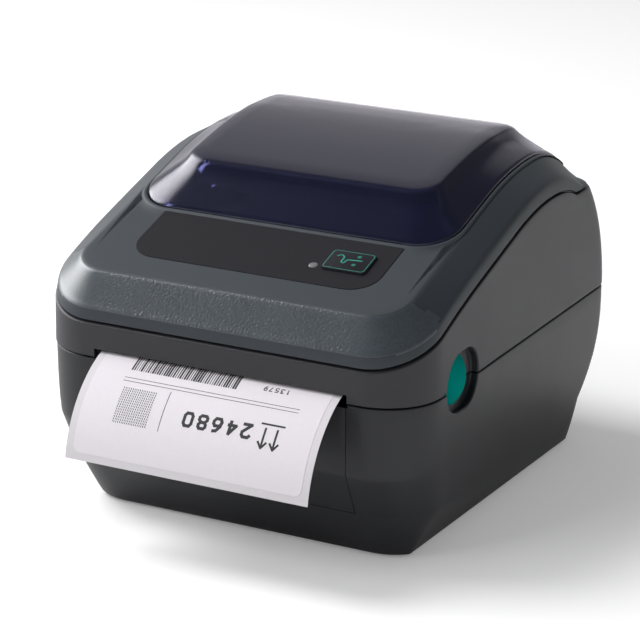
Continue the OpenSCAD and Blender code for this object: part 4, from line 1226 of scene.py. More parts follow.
@dataclass
class LowerCase:
    """Moulded tub with its bezel, feet and rear openings."""

    finishes: Finishes
    slot_half_w: float = 57.0
    slot_low_z: float = FORM.parting_z - 1.5
    bezel_gap: float = 0.25
    bezel_edge: float = 0.3
    ear_x: float = 45.0
    ear_w: float = 14.0
    ear_r: float = 5.0
    hinge_y: float = FORM.rear_y - 8.3
    hinge_z: float = FORM.lid_z + 8.1
    pin_r: float = 2.0
    foot_r: float = 7.0
    edge: float = 0.7
    cap_in: float = 24.0
    cut_gap: float = 0.2
    screw_r: float = 3.4
    screw_x: float = FORM.half_w - 23.5
    screw_y: Pair = (FORM.front_y + 62, FORM.rear_y - 40)
    rear_cuts: tuple[tuple[float, float, float, float], ...] = (
        (2.0, 12.0, 9.6, 11.0), (-26.0, 31.0, 9.6, 12.5), (-54.0, 9.0, 9.6, 11.0), (40.0, 21.0, 6.5, 14.0))
    feet: tuple[Pair, ...] = (
        (FORM.half_w - 26, FORM.front_y + 46), (FORM.half_w - 22, FORM.rear_y - 36))

    @property
    def bezel_half_w(self) -> float:
        """Half of the width of the front bezel."""
        return self.slot_half_w - 1

    def front_box(self, half_w: float, low: float, high: float) -> Piece:
        """Box through the front wall of this half width between two heights."""
        back = FORM.front_y + FORM.crease_d + FORM.wall + 2
        return box((-half_w, FORM.front_y - 1, low), (half_w, back, high))

    def tub(self, name: str) -> Piece:
        """Closed wall of the case with its floor, before anything is cut.

        Args:
            name: Name of the piece.

        Returns:
            One closed mesh.
        """
        form = FORM
        foot, top, wall, crease, tuck = form.foot_h, form.parting_z, form.wall, form.crease_z, form.tuck_z
        skin_z = (foot + 0.9, 6.0, 11.0, 17.0, crease - 0.9, crease, crease + 0.9, 28.0, 34.0, tuck - 1.5,
                  tuck, tuck + 1.5, 48.0, 54.0, 60.0, 66.0)
        rim = [(top - e, self.edge - math.sqrt(self.edge**2 - (self.edge - e) ** 2))
               for e in (0.7, 0.35, 0.1, 0.0)]
        profile = [(foot, self.cap_in), (foot, 8.0), (foot, 0.9), (foot + 0.27, 0.27),
                   *((z, 0.0) for z in skin_z), *rim, (top, wall - 0.2), (top - 0.2, wall),
                   *((z, wall) for z in (60.0, 50.0, tuck, 32.0, crease, 12.0, 4.4)),
                   (foot + wall, wall + 0.8), (foot + wall, self.cap_in)]
        rows = [case_loop(z, inset) for z, inset in profile]
        piece = loft(name, rows, caps=False)
        n = len(rows[0])
        last = (len(rows) - 1) * n
        cells: list[tuple[int, ...]] = [(0, n - 1, 1)]
        cells += [(b, n - b, n - b - 1, b + 1) if b + 1 < n - b - 1 else (b, n - b, b + 1)
                  for b in range(1, n // 2) if b < n - 1 - b]
        work = bmesh.new()
        work.from_mesh(piece.data)
        work.verts.ensure_lookup_table()
        for first, *rest in cells:
            work.faces.new([work.verts[k] for k in (first, *rest)])
            work.faces.new([work.verts[last + k] for k in (first, *reversed(rest))])
        work.to_mesh(piece.data)
        work.free()
        return soften(piece)

    def openings(self) -> list[Piece]:
        """Cutters for dishes, slot, sockets, foot recesses and screws.

        Returns:
            Closed helper objects.
        """
        form = FORM
        cutters = [DISH.cutter(side) for side in (1, -1)]
        cutters.append(self.front_box(self.slot_half_w, self.slot_low_z, form.parting_z + 1))
        rear = form.rear_y - form.skirt_rear_e - form.wall - 3
        for x, w, z, h in self.rear_cuts:
            half, low, high = w / 2 + self.cut_gap, z - self.cut_gap, z + h + self.cut_gap
            cutters.append(box((x - half, rear, low), (x + half, form.rear_y, high)))
        for side in (1, -1):
            cutters += [self.puck("foot_cut", self.foot_r, (side * x, y)) for x, y in self.feet]
            cutters += [self.puck("screw_cut", self.screw_r, (side * self.screw_x, y)) for y in self.screw_y]
        return cutters

    def puck(self, name: str, r: float, axis: Pair, edge: float = 0.0) -> Piece:
        """Upright disc from the table to just inside the floor."""
        return rod(name, r, (0.0, FORM.foot_h + 1), axis, 40, edge, True)

    def ear(self, side: int) -> Piece:
        """Hinge ear that stands up from the rear wall at the side with this sign.

        Args:
            side: 1 for the right side, -1 for the left.

        Returns:
            The ear with its hole.
        """
        x0, x1 = span(side, self.ear_x - self.ear_w / 2, self.ear_x + self.ear_w / 2)
        axis = (self.hinge_y, self.hinge_z)
        foot = box((x0 + 0.3, self.hinge_y - self.ear_r + 1, FORM.parting_z - 12),
                   (x1 - 0.3, self.hinge_y + self.ear_r - 1, self.hinge_z))
        ear = carve(rod("ear", self.ear_r, (x0, x1), axis, edge=0.4), [foot], Cut.JOIN)
        return carve(ear, [rod("pin_cut", self.pin_r, (x0 - 1, x1 + 1), axis)])

    def make_shell(self) -> None:
        """The tub with everything cut, its dish cups and hinge ears."""
        top = FORM.parting_z
        window = self.front_box(self.bezel_half_w + self.bezel_gap, FORM.crease_z, top + 1)
        shell = carve(self.tub("lower_case_shell"), [window, *self.openings()])
        cups = [DISH.cup(side, top - 30, top) for side in (1, -1)]
        shell = join("lower_case_shell", [shell, *cups, self.ear(1), self.ear(-1)])
        seat(dress(shell, self.finishes.case), "base", "lower_case")

    def make_bezel(self) -> None:
        """Front bezel between its two seams, with a tongue behind the case."""
        keep = self.front_box(self.bezel_half_w, FORM.crease_z + self.bezel_gap, self.slot_low_z)
        bezel = carve(self.tub("front_bezel_plate"), [keep], Cut.KEEP)
        trim = bezel.modifiers.new("edge", "BEVEL")
        trim.width = self.bezel_edge * MM
        trim.segments = 2
        trim.limit_method = "ANGLE"
        trim.angle_limit = math.radians(60)
        seat(dress(soften(settle(bezel)), self.finishes.case), "base", "front_bezel")

    def make_feet(self) -> None:
        """Four round rubber feet."""
        feet = join("rubber_feet_set", [self.puck("foot", self.foot_r - 0.1, (side * x, y), 0.35)
                                        for side in (1, -1) for x, y in self.feet])
        seat(dress(feet, self.finishes.rubber), "base", "rubber_feet")

    def build(self) -> None:
        """Make every piece of the lower case."""
        self.make_shell()
        self.make_bezel()
        self.make_feet()


# --- Lid ------------------------------------------------------------------


def lid_loop(share: float, inset: float, rise: float = 0.0) -> Loop:
    """Loop on the lid's walls between the parting line and the groove.

    Args:
        share: 0 at the parting line, 1 at the groove.
        inset: How far the loop lies inside the skin.
        rise: How far the loop lies above that height.

    Returns:
        The loop, with its own height at each place.
    """
    form = FORM
    loop: Loop = []
    start = form.crest_y - 20
    run = form.rear_y - form.rear_corner_r - start
    for x, y0 in outline(form.half_w - inset, form.front_y + inset, form.rear_skin(form.lid_z) - inset,
                         form.front_corner_r - inset, form.rear_corner_r - inset):
        weight = min(1.0, max(0.0, (y0 - start) / run))
        y = y0
        z = form.lid_z
        for _ in range(8):
            z = form.lid_z + (form.groove_z(y) - form.lid_z) * share + rise
            y = y0 - weight * (form.rear_skin(form.lid_z) - form.rear_skin(z))
        loop.append(Vector((x, y, z)))
    return loop


@dataclass
class UpperCase:
    """Side walls of the lid, from the parting line to the groove."""

    finishes: Finishes
    lower: LowerCase
    edge: float = 0.6
    barrel_r: float = 8.0
    gap: float = 0.4
    knuckle_w: float = 9.0

    def walls(self, name: str) -> Piece:
        """Closed wall with softened rims.

        Args:
            name: Name of the piece.

        Returns:
            One closed mesh.
        """
        wall, e = FORM.wall, self.edge
        rim = [(e * (1 - math.cos(a)), e * (1 - math.sin(a)))
               for a in (math.radians(d) for d in (0, 30, 60, 90))]
        rows = [lid_loop(0, wall), lid_loop(0, e + 0.4)]
        rows += [lid_loop(0, i, r) for r, i in rim]
        rows += [lid_loop(s, 0) for s in (0.04, 0.12, 0.2, 0.3, 0.4, 0.5, 0.6, 0.7, 0.8, 0.88, 0.95)]
        rows += [lid_loop(1, i, -r) for r, i in reversed(rim)]
        rows += [lid_loop(1, e + 0.4), lid_loop(1, wall)]
        rows += [lid_loop(s, wall) for s in (0.9, 0.75, 0.6, 0.45, 0.3, 0.15)]
        return loft(name, rows, ring=True)

    def build(self) -> None:
        """Make the walls with their cuts, dish cups and hinge knuckles."""
        form, low = FORM, self.lower
        axis = (low.hinge_y, low.hinge_z)
        near, far = low.ear_x - low.ear_w / 2 - self.gap, low.ear_x + low.ear_w / 2 + self.gap
        cutters = [DISH.cutter(side) for side in (1, -1)]
        cutters.append(box((-low.slot_half_w, form.front_y - 1, form.lid_z - 1),
                           (low.slot_half_w, form.front_y + form.wall + 1, form.parting_z + 4.2)))
        for x0, x1 in (span(1, near, far), span(-1, near, far)):
            cutters.append(box((x0, low.hinge_y - low.ear_r - self.gap, form.lid_z - 1),
                               (x1, form.rear_y + 1, low.hinge_z + low.ear_r + self.gap)))
        shell = carve(self.walls("upper_case_shell"), cutters)
        wide = form.half_w + 1
        barrel_cut = box((-wide, low.hinge_y, form.lid_z - 1), (wide, form.rear_y + 1, low.hinge_z))
        carve(barrel_cut, [rod("keep", self.barrel_r, (-wide - 1, wide + 1), axis, 96)])
        carve(shell, [barrel_cut])
        extras = [DISH.cup(side, form.lid_z, form.lid_z + 30) for side in (1, -1)]
        extras += [rod("knuckle", self.barrel_r - 0.05, span(side, x, x + self.knuckle_w), axis, 64, 0.3)
                   for side in (1, -1) for x in (near - self.knuckle_w, far)]
        shell = join("upper_case_shell", [shell, *extras])
        seat(dress(shell, self.finishes.lid_side), "lid", "upper_case")


FEED_WAVE: tuple[Pair, ...] = ((-6.0, 2.5), (-4.6, 3.4), (-3.0, 1.9), (-2.9, -1.1), (-1.6, -1.8), (-0.9, 0.4),
                               (1.6, 0.8), (5.0, 1.2))
FEED_DOTS: tuple[Pair, ...] = ((3.0, 3.7), (3.0, -2.3))


def smooth_line(points: Sequence[Pair], steps: int) -> list[Pair]:
    """Round a line of points with a smooth curve through them.

    Args:
        points: The points, at least two.
        steps: Stretches between each two points.

    Returns:
        The points of the curve.
    """
    p = [Vector(q) for q in (points[0], *points, points[-1])]
    line: list[Pair] = []
    for a, b, c, d in zip(p, p[1:], p[2:], p[3:]):
        for t in (s / steps for s in range(steps)):
            at = 0.5 * (2 * b + (c - a) * t + (2 * a - 5 * b + 4 * c - d) * t**2
                        + (3 * b - a - 3 * c + d) * t**3)
            line.append((at.x, at.y))
    return [*line, (p[-1].x, p[-1].y)]


@dataclass
class TopCover:
    """Deck, bevels and crest: the frame above the groove, around the window."""

    finishes: Finishes
    lip_in: float = 2.6
    lip_t: float = 1.6
    lip_h: float = 4.0
    skin: float = 2.5
    rim_h: float = 0.5
    rim_w: float = 1.3
    ledge: float = 4.0
    overlay_w: float = 110.0
    overlay_d: float = 22.0
    overlay_corner_r: float = 12.0
    overlay_t: float = 0.8
    overlay_proud: float = 0.2
    button_x: float = 38.0
    button_d: float = 39.0
    button_w: float = 19.5
    button_l: float = 14.0
    button_gap: float = 0.25
    button_top: float = 1.2
    button_edge: float = 0.5
    flange_w: float = 1.2
    flange_low: float = -4.7
    flange_high: float = -3.5
    print_lift: float = 0.03
    hole_low: float = -9.0
    hole_high: float = 4.0
    overlay_high: float = 2.0
    film_reach: float = 3.0
    overlay_fit: float = 0.15
    overlay_edge: float = 0.12
    # Bounds of the front slope's faces that take the grain with its painted sheen colour; the side bevels
    # keep the darker cover colour.
    grain_sheen_up: Pair = (0.3, 0.93)
    grain_sheen_front: float = -0.3
    grain_sheen_down: float = 0.3
    grain_sheen_turn: float = 3.0
    grain_sheen_rear_y: float = -40.0
    light_x: float = 24.5
    light_d: float = 34.0
    light_r: float = 1.9
    light_fit: float = 0.1
    light_low: float = -12.0
    light_proud: float = 0.2
    light_dome: float = 0.3

    def band_loop(self, inset: float, height: Rule, rear: float) -> Loop:
        """Loop of the band around the cover.

        Args:
            inset: How far it lies inside the side walls.
            height: Its height as a rule of X and Y.
            rear: Its rear end.

        Returns:
            The loop.
        """
        form = FORM
        points = outline(form.half_w - inset, form.front_y + inset, rear, form.front_corner_r - inset * 0.6,
                         form.rear_corner_r)
        return [Vector((x, y, height(x, y))) for x, y in points]

    def deck_loop(self, inset: float, down: float) -> Loop:
        """Loop along the edge of the deck, moved in and down.

        Args:
            inset: How far it lies inside the deck's edge.
            down: How far it lies under the deck.

        Returns:
            The loop.
        """
        form = FORM
        points = outline(form.deck_half_w - inset, form.front_y + form.deck_d + inset,
                         form.rear_y - form.deck_e - inset, form.deck_corner_r, form.rear_corner_r)
        return [Vector((x - math.copysign(form.taper(y), x) if abs(x) > 1 else x, y, form.top_z(y) - down))
                for x, y in points]

    def window_loop(self, out: float, up: float) -> Loop:
        """Loop along the opening of the window, moved out and up.

        Args:
            out: How far it lies outside the opening.
            up: How far it lies above the deck.

        Returns:
            The loop.
        """
        form = FORM
        points = outline(form.window_half_w + out, form.front_y + form.window_d - out,
                         form.rear_y - form.window_e + out, form.window_corner_r, form.window_rear_r)
        return [Vector((x, y, form.top_z(y) + up)) for x, y in points]

    def between(self, first: Loop, last: Loop, share: float, down: float) -> Loop:
        """Loop part of the way between two loops, laid on the deck's own surface."""
        places = [a.lerp(b, share) for a, b in zip(first, last)]
        return [Vector((p.x, p.y, FORM.top_z(p.y) - down)) for p in places]

    def shell(self, name: str) -> Piece:
        """Closed skin of the cover, from its lip over the deck to the window and back.

        Args:
            name: Name of the piece.

        Returns:
            One closed mesh.
        """
        form, gap, rim_w, rim_h = FORM, FORM.groove_gap, self.rim_w, self.rim_h
        rear = form.rear_skin(form.rear_seam_z + gap)

        def soft(up: float, more: float, guard: float) -> Rule:
            """Height of the soft edge above the band, kept clear of the groove."""
            return lambda x, y: max(form.groove_z(y) + gap + guard,
                                    form.top_z(y) + up - (form.bevel_drop(y) + more) * form.sideness(x, y))

        def groove(up: float) -> Rule:
            """Height above the groove."""
            return lambda x, y: form.groove_z(y) + up

        def under(x: float, y: float) -> float:
            """Height of the underside behind the band."""
            return form.top_z(y) - 3.6 - form.bevel_drop(y) * form.sideness(x, y)

        deck = self.deck_loop(self.ledge, 0)
        rings = [
            self.band_loop(self.lip_in + self.lip_t, groove(-self.lip_h), rear - 3.5),
            self.band_loop(self.lip_in, groove(-self.lip_h), rear - 2.2),
            self.band_loop(self.lip_in, groove(gap), rear - 2.2),
            self.band_loop(form.groove_in, groove(gap), rear),
            self.band_loop(1.0, soft(-1.2, 0.0, 0.4), rear - 0.5),
            self.band_loop(2.4, soft(0.6, 0.2, 0.8), rear - 1.2),
            self.deck_loop(0, 0),
            deck,
        ]
        rows = rounded_rows(rings, [0, 0, 0, 0.5, 1.6, 1.2, 1.8, 0], [1, 1, 1, 2, 1, 4, 1, 1], closed=False)
        rim = self.window_loop(rim_w + 0.5, 0)
        rows += [self.between(deck, rim, k / 8, 0) for k in range(1, 9)]
        rows += [self.window_loop(out, up) for out, up in (
            (rim_w, rim_h * 0.7), (rim_w - 0.3, rim_h), (0.3, rim_h), (0, rim_h - 0.3), (0, -self.skin))]
        inner, below = self.window_loop(1.0, -self.skin), self.deck_loop(self.ledge + 0.5, 4.0)
        rows += [self.between(inner, below, k / 5, self.skin) for k in range(0, 5)]
        rows += [below, self.band_loop(self.lip_in + self.lip_t, under, rear - 4)]
        return loft(name, rows, ring=True)

    def to_deck(self, points: Iterable[Triple]) -> list[Triple]:
        """Lay points drawn as across, up the deck and out of it onto the tilted deck.

        Args:
            points: Points across, up the deck and out of it.

        Returns:
            Points in X, Y and Z.
        """
        form = FORM
        a = math.radians(form.deck_angle)
        return [(x, form.front_y + form.deck_d + u * math.cos(a) - w * math.sin(a),
                 form.deck_z + u * math.sin(a) + w * math.cos(a)) for x, u, w in points]

    def up_deck(self, d: float) -> float:
        """Distance up the deck for a distance from the front of the case."""
        return (d - FORM.deck_d) / math.cos(math.radians(FORM.deck_angle))

    def rounded_flat(self, w: float, l: float, r: float) -> list[Pair]:
        """Rounded rectangle around the origin, anticlockwise."""
        corners = ((1, -1, -90), (1, 1, 0), (-1, 1, 90), (-1, -1, 180))
        return [point for sx, sy, start in corners
                for point in arc(sx * (w / 2 - r), sy * (l / 2 - r), r, start, 90, 8)]

    def overlay_flat(self, out: float) -> list[Pair]:
        """Outline of the overlay up the deck, with round front corners.

        Args:
            out: How far the outline is grown.

        Returns:
            Points across and up the deck.
        """
        base = self.up_deck(self.overlay_d)
        length = self.up_deck(FORM.window_d) - base - 2
        w, r = self.overlay_w / 2 + out, self.overlay_corner_r + out
        points = arc(w - r, base - out + r, r, -90, 90, 16)
        points += [(w, base + length + out - 0.6), (w - 0.6, base + length + out)]
        return points + [(-x, y) for x, y in reversed(points)]

    def slab(self, name: str, stations: Sequence[tuple[Sequence[Pair], float]]) -> Piece:
        """Skin flat outlines at distances out of the deck."""
        return prism(name, [self.to_deck([(x, u, w) for x, u in flat]) for flat, w in stations])

    def plug(self, flat: Sequence[Pair], low: float, high: float) -> Piece:
        """Cutter with a flat outline between two distances out of the deck."""
        return self.slab("plug", [(flat, low), (flat, high)])

    def button_flat(self, grow: float, r: float = 2.0) -> list[Pair]:
        """Outline of the feed button, grown by a margin."""
        u = self.up_deck(self.button_d)
        return [(x + self.button_x, y + u) for x, y in
                self.rounded_flat(self.button_w + 2 * grow, self.button_l + 2 * grow, r)]

    def light_flat(self, r: float) -> list[Pair]:
        """Outline of the status light."""
        return circle(self.light_x, self.up_deck(self.light_d), r, 32)

    def build(self) -> None:
        """Make the cover, its overlay, the button and the light."""
        low = self.overlay_proud - self.overlay_t
        cover = carve(self.shell("top_cover_shell"), [
            self.plug(self.overlay_flat(self.overlay_fit), low, self.overlay_high),
            self.plug(self.button_flat(self.button_gap), self.hole_low, self.hole_high),
            self.plug(self.light_flat(self.light_r + self.light_fit), self.hole_low, self.hole_high)])
        dress(soften(cover, 38), self.finishes.grain_and_sheen_cover, self.finishes.cover)
        # Front-facing slope faces get the lighter finish with grain and painted sheen; all other faces keep
        # the cover finish.
        for face in cover.data.polygons:
            face.material_index = 0 if self.grain_and_sheen_face(face) else 1
        seat(cover, "lid", "top_cover")
        self.make_overlay()
        self.make_button()
        self.make_light()

    def grain_and_sheen_face(self, face: bpy.types.MeshPolygon) -> bool:
        """Whether a face lies on the slope in front of the deck, which takes the grain and its painted sheen
        colour.

        Args:
            face: A face of the cover.

        Returns:
            Whether it takes the finish with grain and painted sheen.
        """
        n, y, z = face.normal, face.center.y / MM, face.center.z / MM
        low, high = self.grain_sheen_up
        slope = low < n.z < high and n.y < self.grain_sheen_front and z < FORM.top_z(y) - self.grain_sheen_down
        return slope and y < self.grain_sheen_rear_y and abs(n.x / n.y) < self.grain_sheen_turn

    def make_overlay(self) -> None:
        """Printed film on the deck, with openings for button and light."""
        top, low = self.overlay_proud, self.overlay_proud - self.overlay_t
        edge = self.overlay_edge
        film = self.slab("overlay_film", [(self.overlay_flat(0), low), (self.overlay_flat(0), top - edge),
                                          (self.overlay_flat(-edge), top)])
        holes = (self.button_flat(self.button_gap), self.light_flat(self.light_r + self.light_fit / 2))
        carve(film, [self.plug(flat, -self.film_reach, self.film_reach) for flat in holes])
        seat(dress(film, self.finishes.overlay), "lid", "overlay_panel")

    def make_button(self) -> None:
        """Feed button with softened edges, a flange under the deck, a teal rim and a feed sign."""
        top, edge, soft = self.button_top, self.button_edge, self.button_edge * 0.3
        cap = self.slab("cap", [(self.button_flat(grow), at) for grow, at in (
            (self.flange_w, self.flange_low), (self.flange_w, self.flange_high), (0, self.flange_high),
            (0, top - edge), (-soft, top - soft), (-edge, top))])
        dress(cap, self.finishes.overlay)
        x0, u0 = self.button_x, self.up_deck(self.button_d)
        wave = [(x0 + x, u0 + u) for x, u in smooth_line(FEED_WAVE, 6)]
        marks = [self.stroke(self.button_flat(-0.75, 1.4), 0.22, True), self.stroke(wave, 0.62, False)]
        marks += [self.stroke(circle(x0 + x, u0 + u, 0.4, 12), 0.8, True) for x, u in FEED_DOTS]
        button = join("feed_button_cap", [cap, *(dress(mark, self.finishes.teal_print) for mark in marks)])
        seat(button, "button", "feed_button")

    def stroke(self, points: Sequence[Pair], width: float, closed: bool) -> Piece:
        """Printed line on the button.

        Args:
            points: Middle of the line, across and up the deck.
            width: Its width.
            closed: Whether it returns to its start.

        Returns:
            A thin flat band.
        """
        line = [Vector(p) for p in points]
        quads: list[Triple] = []
        for k, (a, b) in enumerate(zip(line, line[1:] + line[:1] if closed else line[1:])):
            if (b - a).length < 1e-6:
                continue
            along = (b - a).normalized()
            side = Vector((-along.y, along.x)) * width / 2
            tip = along * width / 2
            corners = (a - tip - side, b + tip - side, b + tip + side, a - tip + side)
            quads += [(c.x, c.y, self.button_top + self.print_lift + 0.001 * (k % 2)) for c in corners]
        faces = [(k, k + 1, k + 2, k + 3) for k in range(0, len(quads), 4)]
        return make_piece("stroke", self.to_deck(quads), faces)

    def make_light(self) -> None:
        """Status light: a domed lens on its stem."""
        dome = [(self.light_r * math.cos(a), self.light_proud + self.light_dome * math.sin(a))
                for a in (0.5, 0.9, 1.3, 1.5)]
        lens = self.slab("status_light_lens", [(self.light_flat(r), at) for r, at in (
            (self.light_r, self.light_low), (self.light_r, self.light_proud), *dome)])
        seat(dress(lens, self.finishes.lens), "lid", "status_light")


@dataclass
class WindowShell:
    """Smoked window with sloping faces around a flat roof."""

    finishes: Finishes
    gap: float = 0.3
    wall: float = 2.2
    lean: float = 14.0
    front_lean: float = 17.0
    rear_lean: float = 17.0

    def ring(self, t: float, share: float, more: float, roof: float, up: float) -> Loop:
        """Loop around the window.

        Args:
            t: Inset from the opening.
            share: Share of the lean of its faces.
            more: Further inset on the roof.
            roof: 0 for a height above the deck, 1 for one above the roof.
            up: Distance above that height.

        Returns:
            The loop.
        """
        form = FORM
        lean = self.lean * share + more
        points = outline(form.window_half_w - t - lean,
                         form.front_y + form.window_d + t + self.front_lean * share + more * 1.1,
                         form.rear_y - form.window_e - t - self.rear_lean * share - more,
                         max(2.0, form.window_corner_r - lean * 0.5),
                         max(1.5, form.window_rear_r - more * 0.25))
        return [Vector((x, y, form.top_z(y) * (1 - roof) + form.roof_z(y) * roof + up)) for x, y in points]

    def skin(self, t: float, down: float) -> list[Loop]:
        """Loops of one face of the window from its foot to its roof.

        Args:
            t: Inset from the opening.
            down: How far the roof lies under the outer one.

        Returns:
            The loops.
        """
        stations = ((0, 0, 0, -1.8), (0, 0, 0, 1 - down), (0.045, 0, 0, 1.8 - down),
                    (0.8, 0, 0.75, -1.2 - down), (1.0, 0, 1, -0.8 - down), (1.0, 2, 1, -down))
        rows = rounded_rows([self.ring(t, *station) for station in stations], [0, 0.4, 0.8, 4.0, 0.9, 0],
                            [2, 1, 6, 2, 1, 1], closed=False, steps=5)
        return rows + [self.ring(t, 1.0, more, 1, -down) for more in (8, 16, 26, 36)]

    def build(self) -> None:
        """Make the window as one closed wall."""
        inner = self.skin(self.gap + self.wall, self.wall)
        pane = loft("window_pane", inner[::-1] + self.skin(self.gap, 0))
        seat(dress(turn_out(pane, 40), self.finishes.window), "lid", "window")


# --- Latches and label ----------------------------------------------------


@dataclass
class LatchButtons:
    """Domed buttons on the sides that open the lid."""

    finishes: Finishes
    out: float = 1.0
    gap: float = 0.4
    sides: int = 64

    def dome(self, name: str, side: int) -> Piece:
        """One domed button at the side with this sign.

        Args:
            name: Name of the piece.
            side: 1 for the right side, -1 for the left.

        Returns:
            The closed button.
        """
        r, inner, tip = DISH.button_r, FORM.half_w - DISH.depth + self.gap, FORM.half_w + self.out
        height = tip - inner
        big = (r**2 + height**2) / (2 * height)
        whole = math.asin(min(1.0, r / big))
        profile = [(inner, r - 0.5), (inner + 0.15, r - 0.15)]
        profile += [(tip - big * (1 - math.cos(a)), big * math.sin(a)) for a in
                    (whole * (0.985 - k / 14) for k in range(14)) if a > 0.01]
        loops = [[Vector((side * x, y, z)) for y, z in circle(DISH.latch_y, DISH.latch_z, size, self.sides)]
                 for x, size in profile]
        return turn_out(loft(name, loops), 45)

    def build(self) -> None:
        """Make both buttons."""
        for side, word in ((1, "right"), (-1, "left")):
            button = dress(self.dome(f"latch_button_{word}_dome", side), self.finishes.teal)
            seat(button, f"latch_{word[0]}", f"latch_button_{word}")


DIGITS: dict[str, tuple[Pair, ...]] = {
    "0": ((0, 0.2), (0.2, 0), (0.8, 0), (1, 0.2), (1, 0.8), (0.8, 1), (0.2, 1), (0, 0.8), (0, 0.2)),
    "1": ((0.2, 0.8), (0.55, 1), (0.55, 0)),
    "2": ((0, 0.85), (0.2, 1), (0.8, 1), (1, 0.85), (1, 0.62), (0, 0), (1, 0)),
    "3": ((0, 1), (1, 1), (0.45, 0.6), (0.85, 0.55), (1, 0.35), (1, 0.15), (0.8, 0), (0.2, 0), (0, 0.15)),
    "4": ((0.75, 0), (0.75, 1), (0, 0.3), (1, 0.3)),
    "5": ((1, 1), (0.1, 1), (0, 0.55), (0.7, 0.6), (1, 0.4), (1, 0.2), (0.75, 0), (0.2, 0), (0, 0.12)),
    "6": ((0.9, 1), (0.5, 0.95), (0.1, 0.6), (0, 0.25), (0.2, 0), (0.8, 0), (1, 0.2), (1, 0.4), (0.8, 0.58),
          (0.2, 0.55), (0, 0.25)),
    "7": ((0, 1), (1, 1), (0.35, 0)),
    "8": ((0.25, 0.52), (0.75, 0.52), (1, 0.32), (1, 0.15), (0.8, 0), (0.2, 0), (0, 0.15), (0, 0.32),
          (0.25, 0.52), (0.05, 0.7), (0.05, 0.86), (0.22, 1), (0.78, 1), (0.95, 0.86), (0.95, 0.7),
          (0.75, 0.52)),
    "9": ((0.1, 0), (0.5, 0.05), (0.9, 0.4), (1, 0.75), (0.8, 1), (0.2, 1), (0, 0.8), (0, 0.6), (0.2, 0.42),
          (0.8, 0.45), (1, 0.75)),
}


ARROWS: tuple[tuple[float, tuple[Pair, ...]], ...] = (
    (0.8, ((-5.0, 0.0), (5.0, 0.0))),
    (0.9, ((-2.6, 1.8), (-2.6, 9.6))), (0.9, ((-4.4, 7.6), (-2.6, 10.0), (-0.8, 7.6))),
    (0.9, ((2.6, 1.8), (2.6, 9.6))), (0.9, ((0.8, 7.6), (2.6, 10.0), (4.4, 7.6))),
)


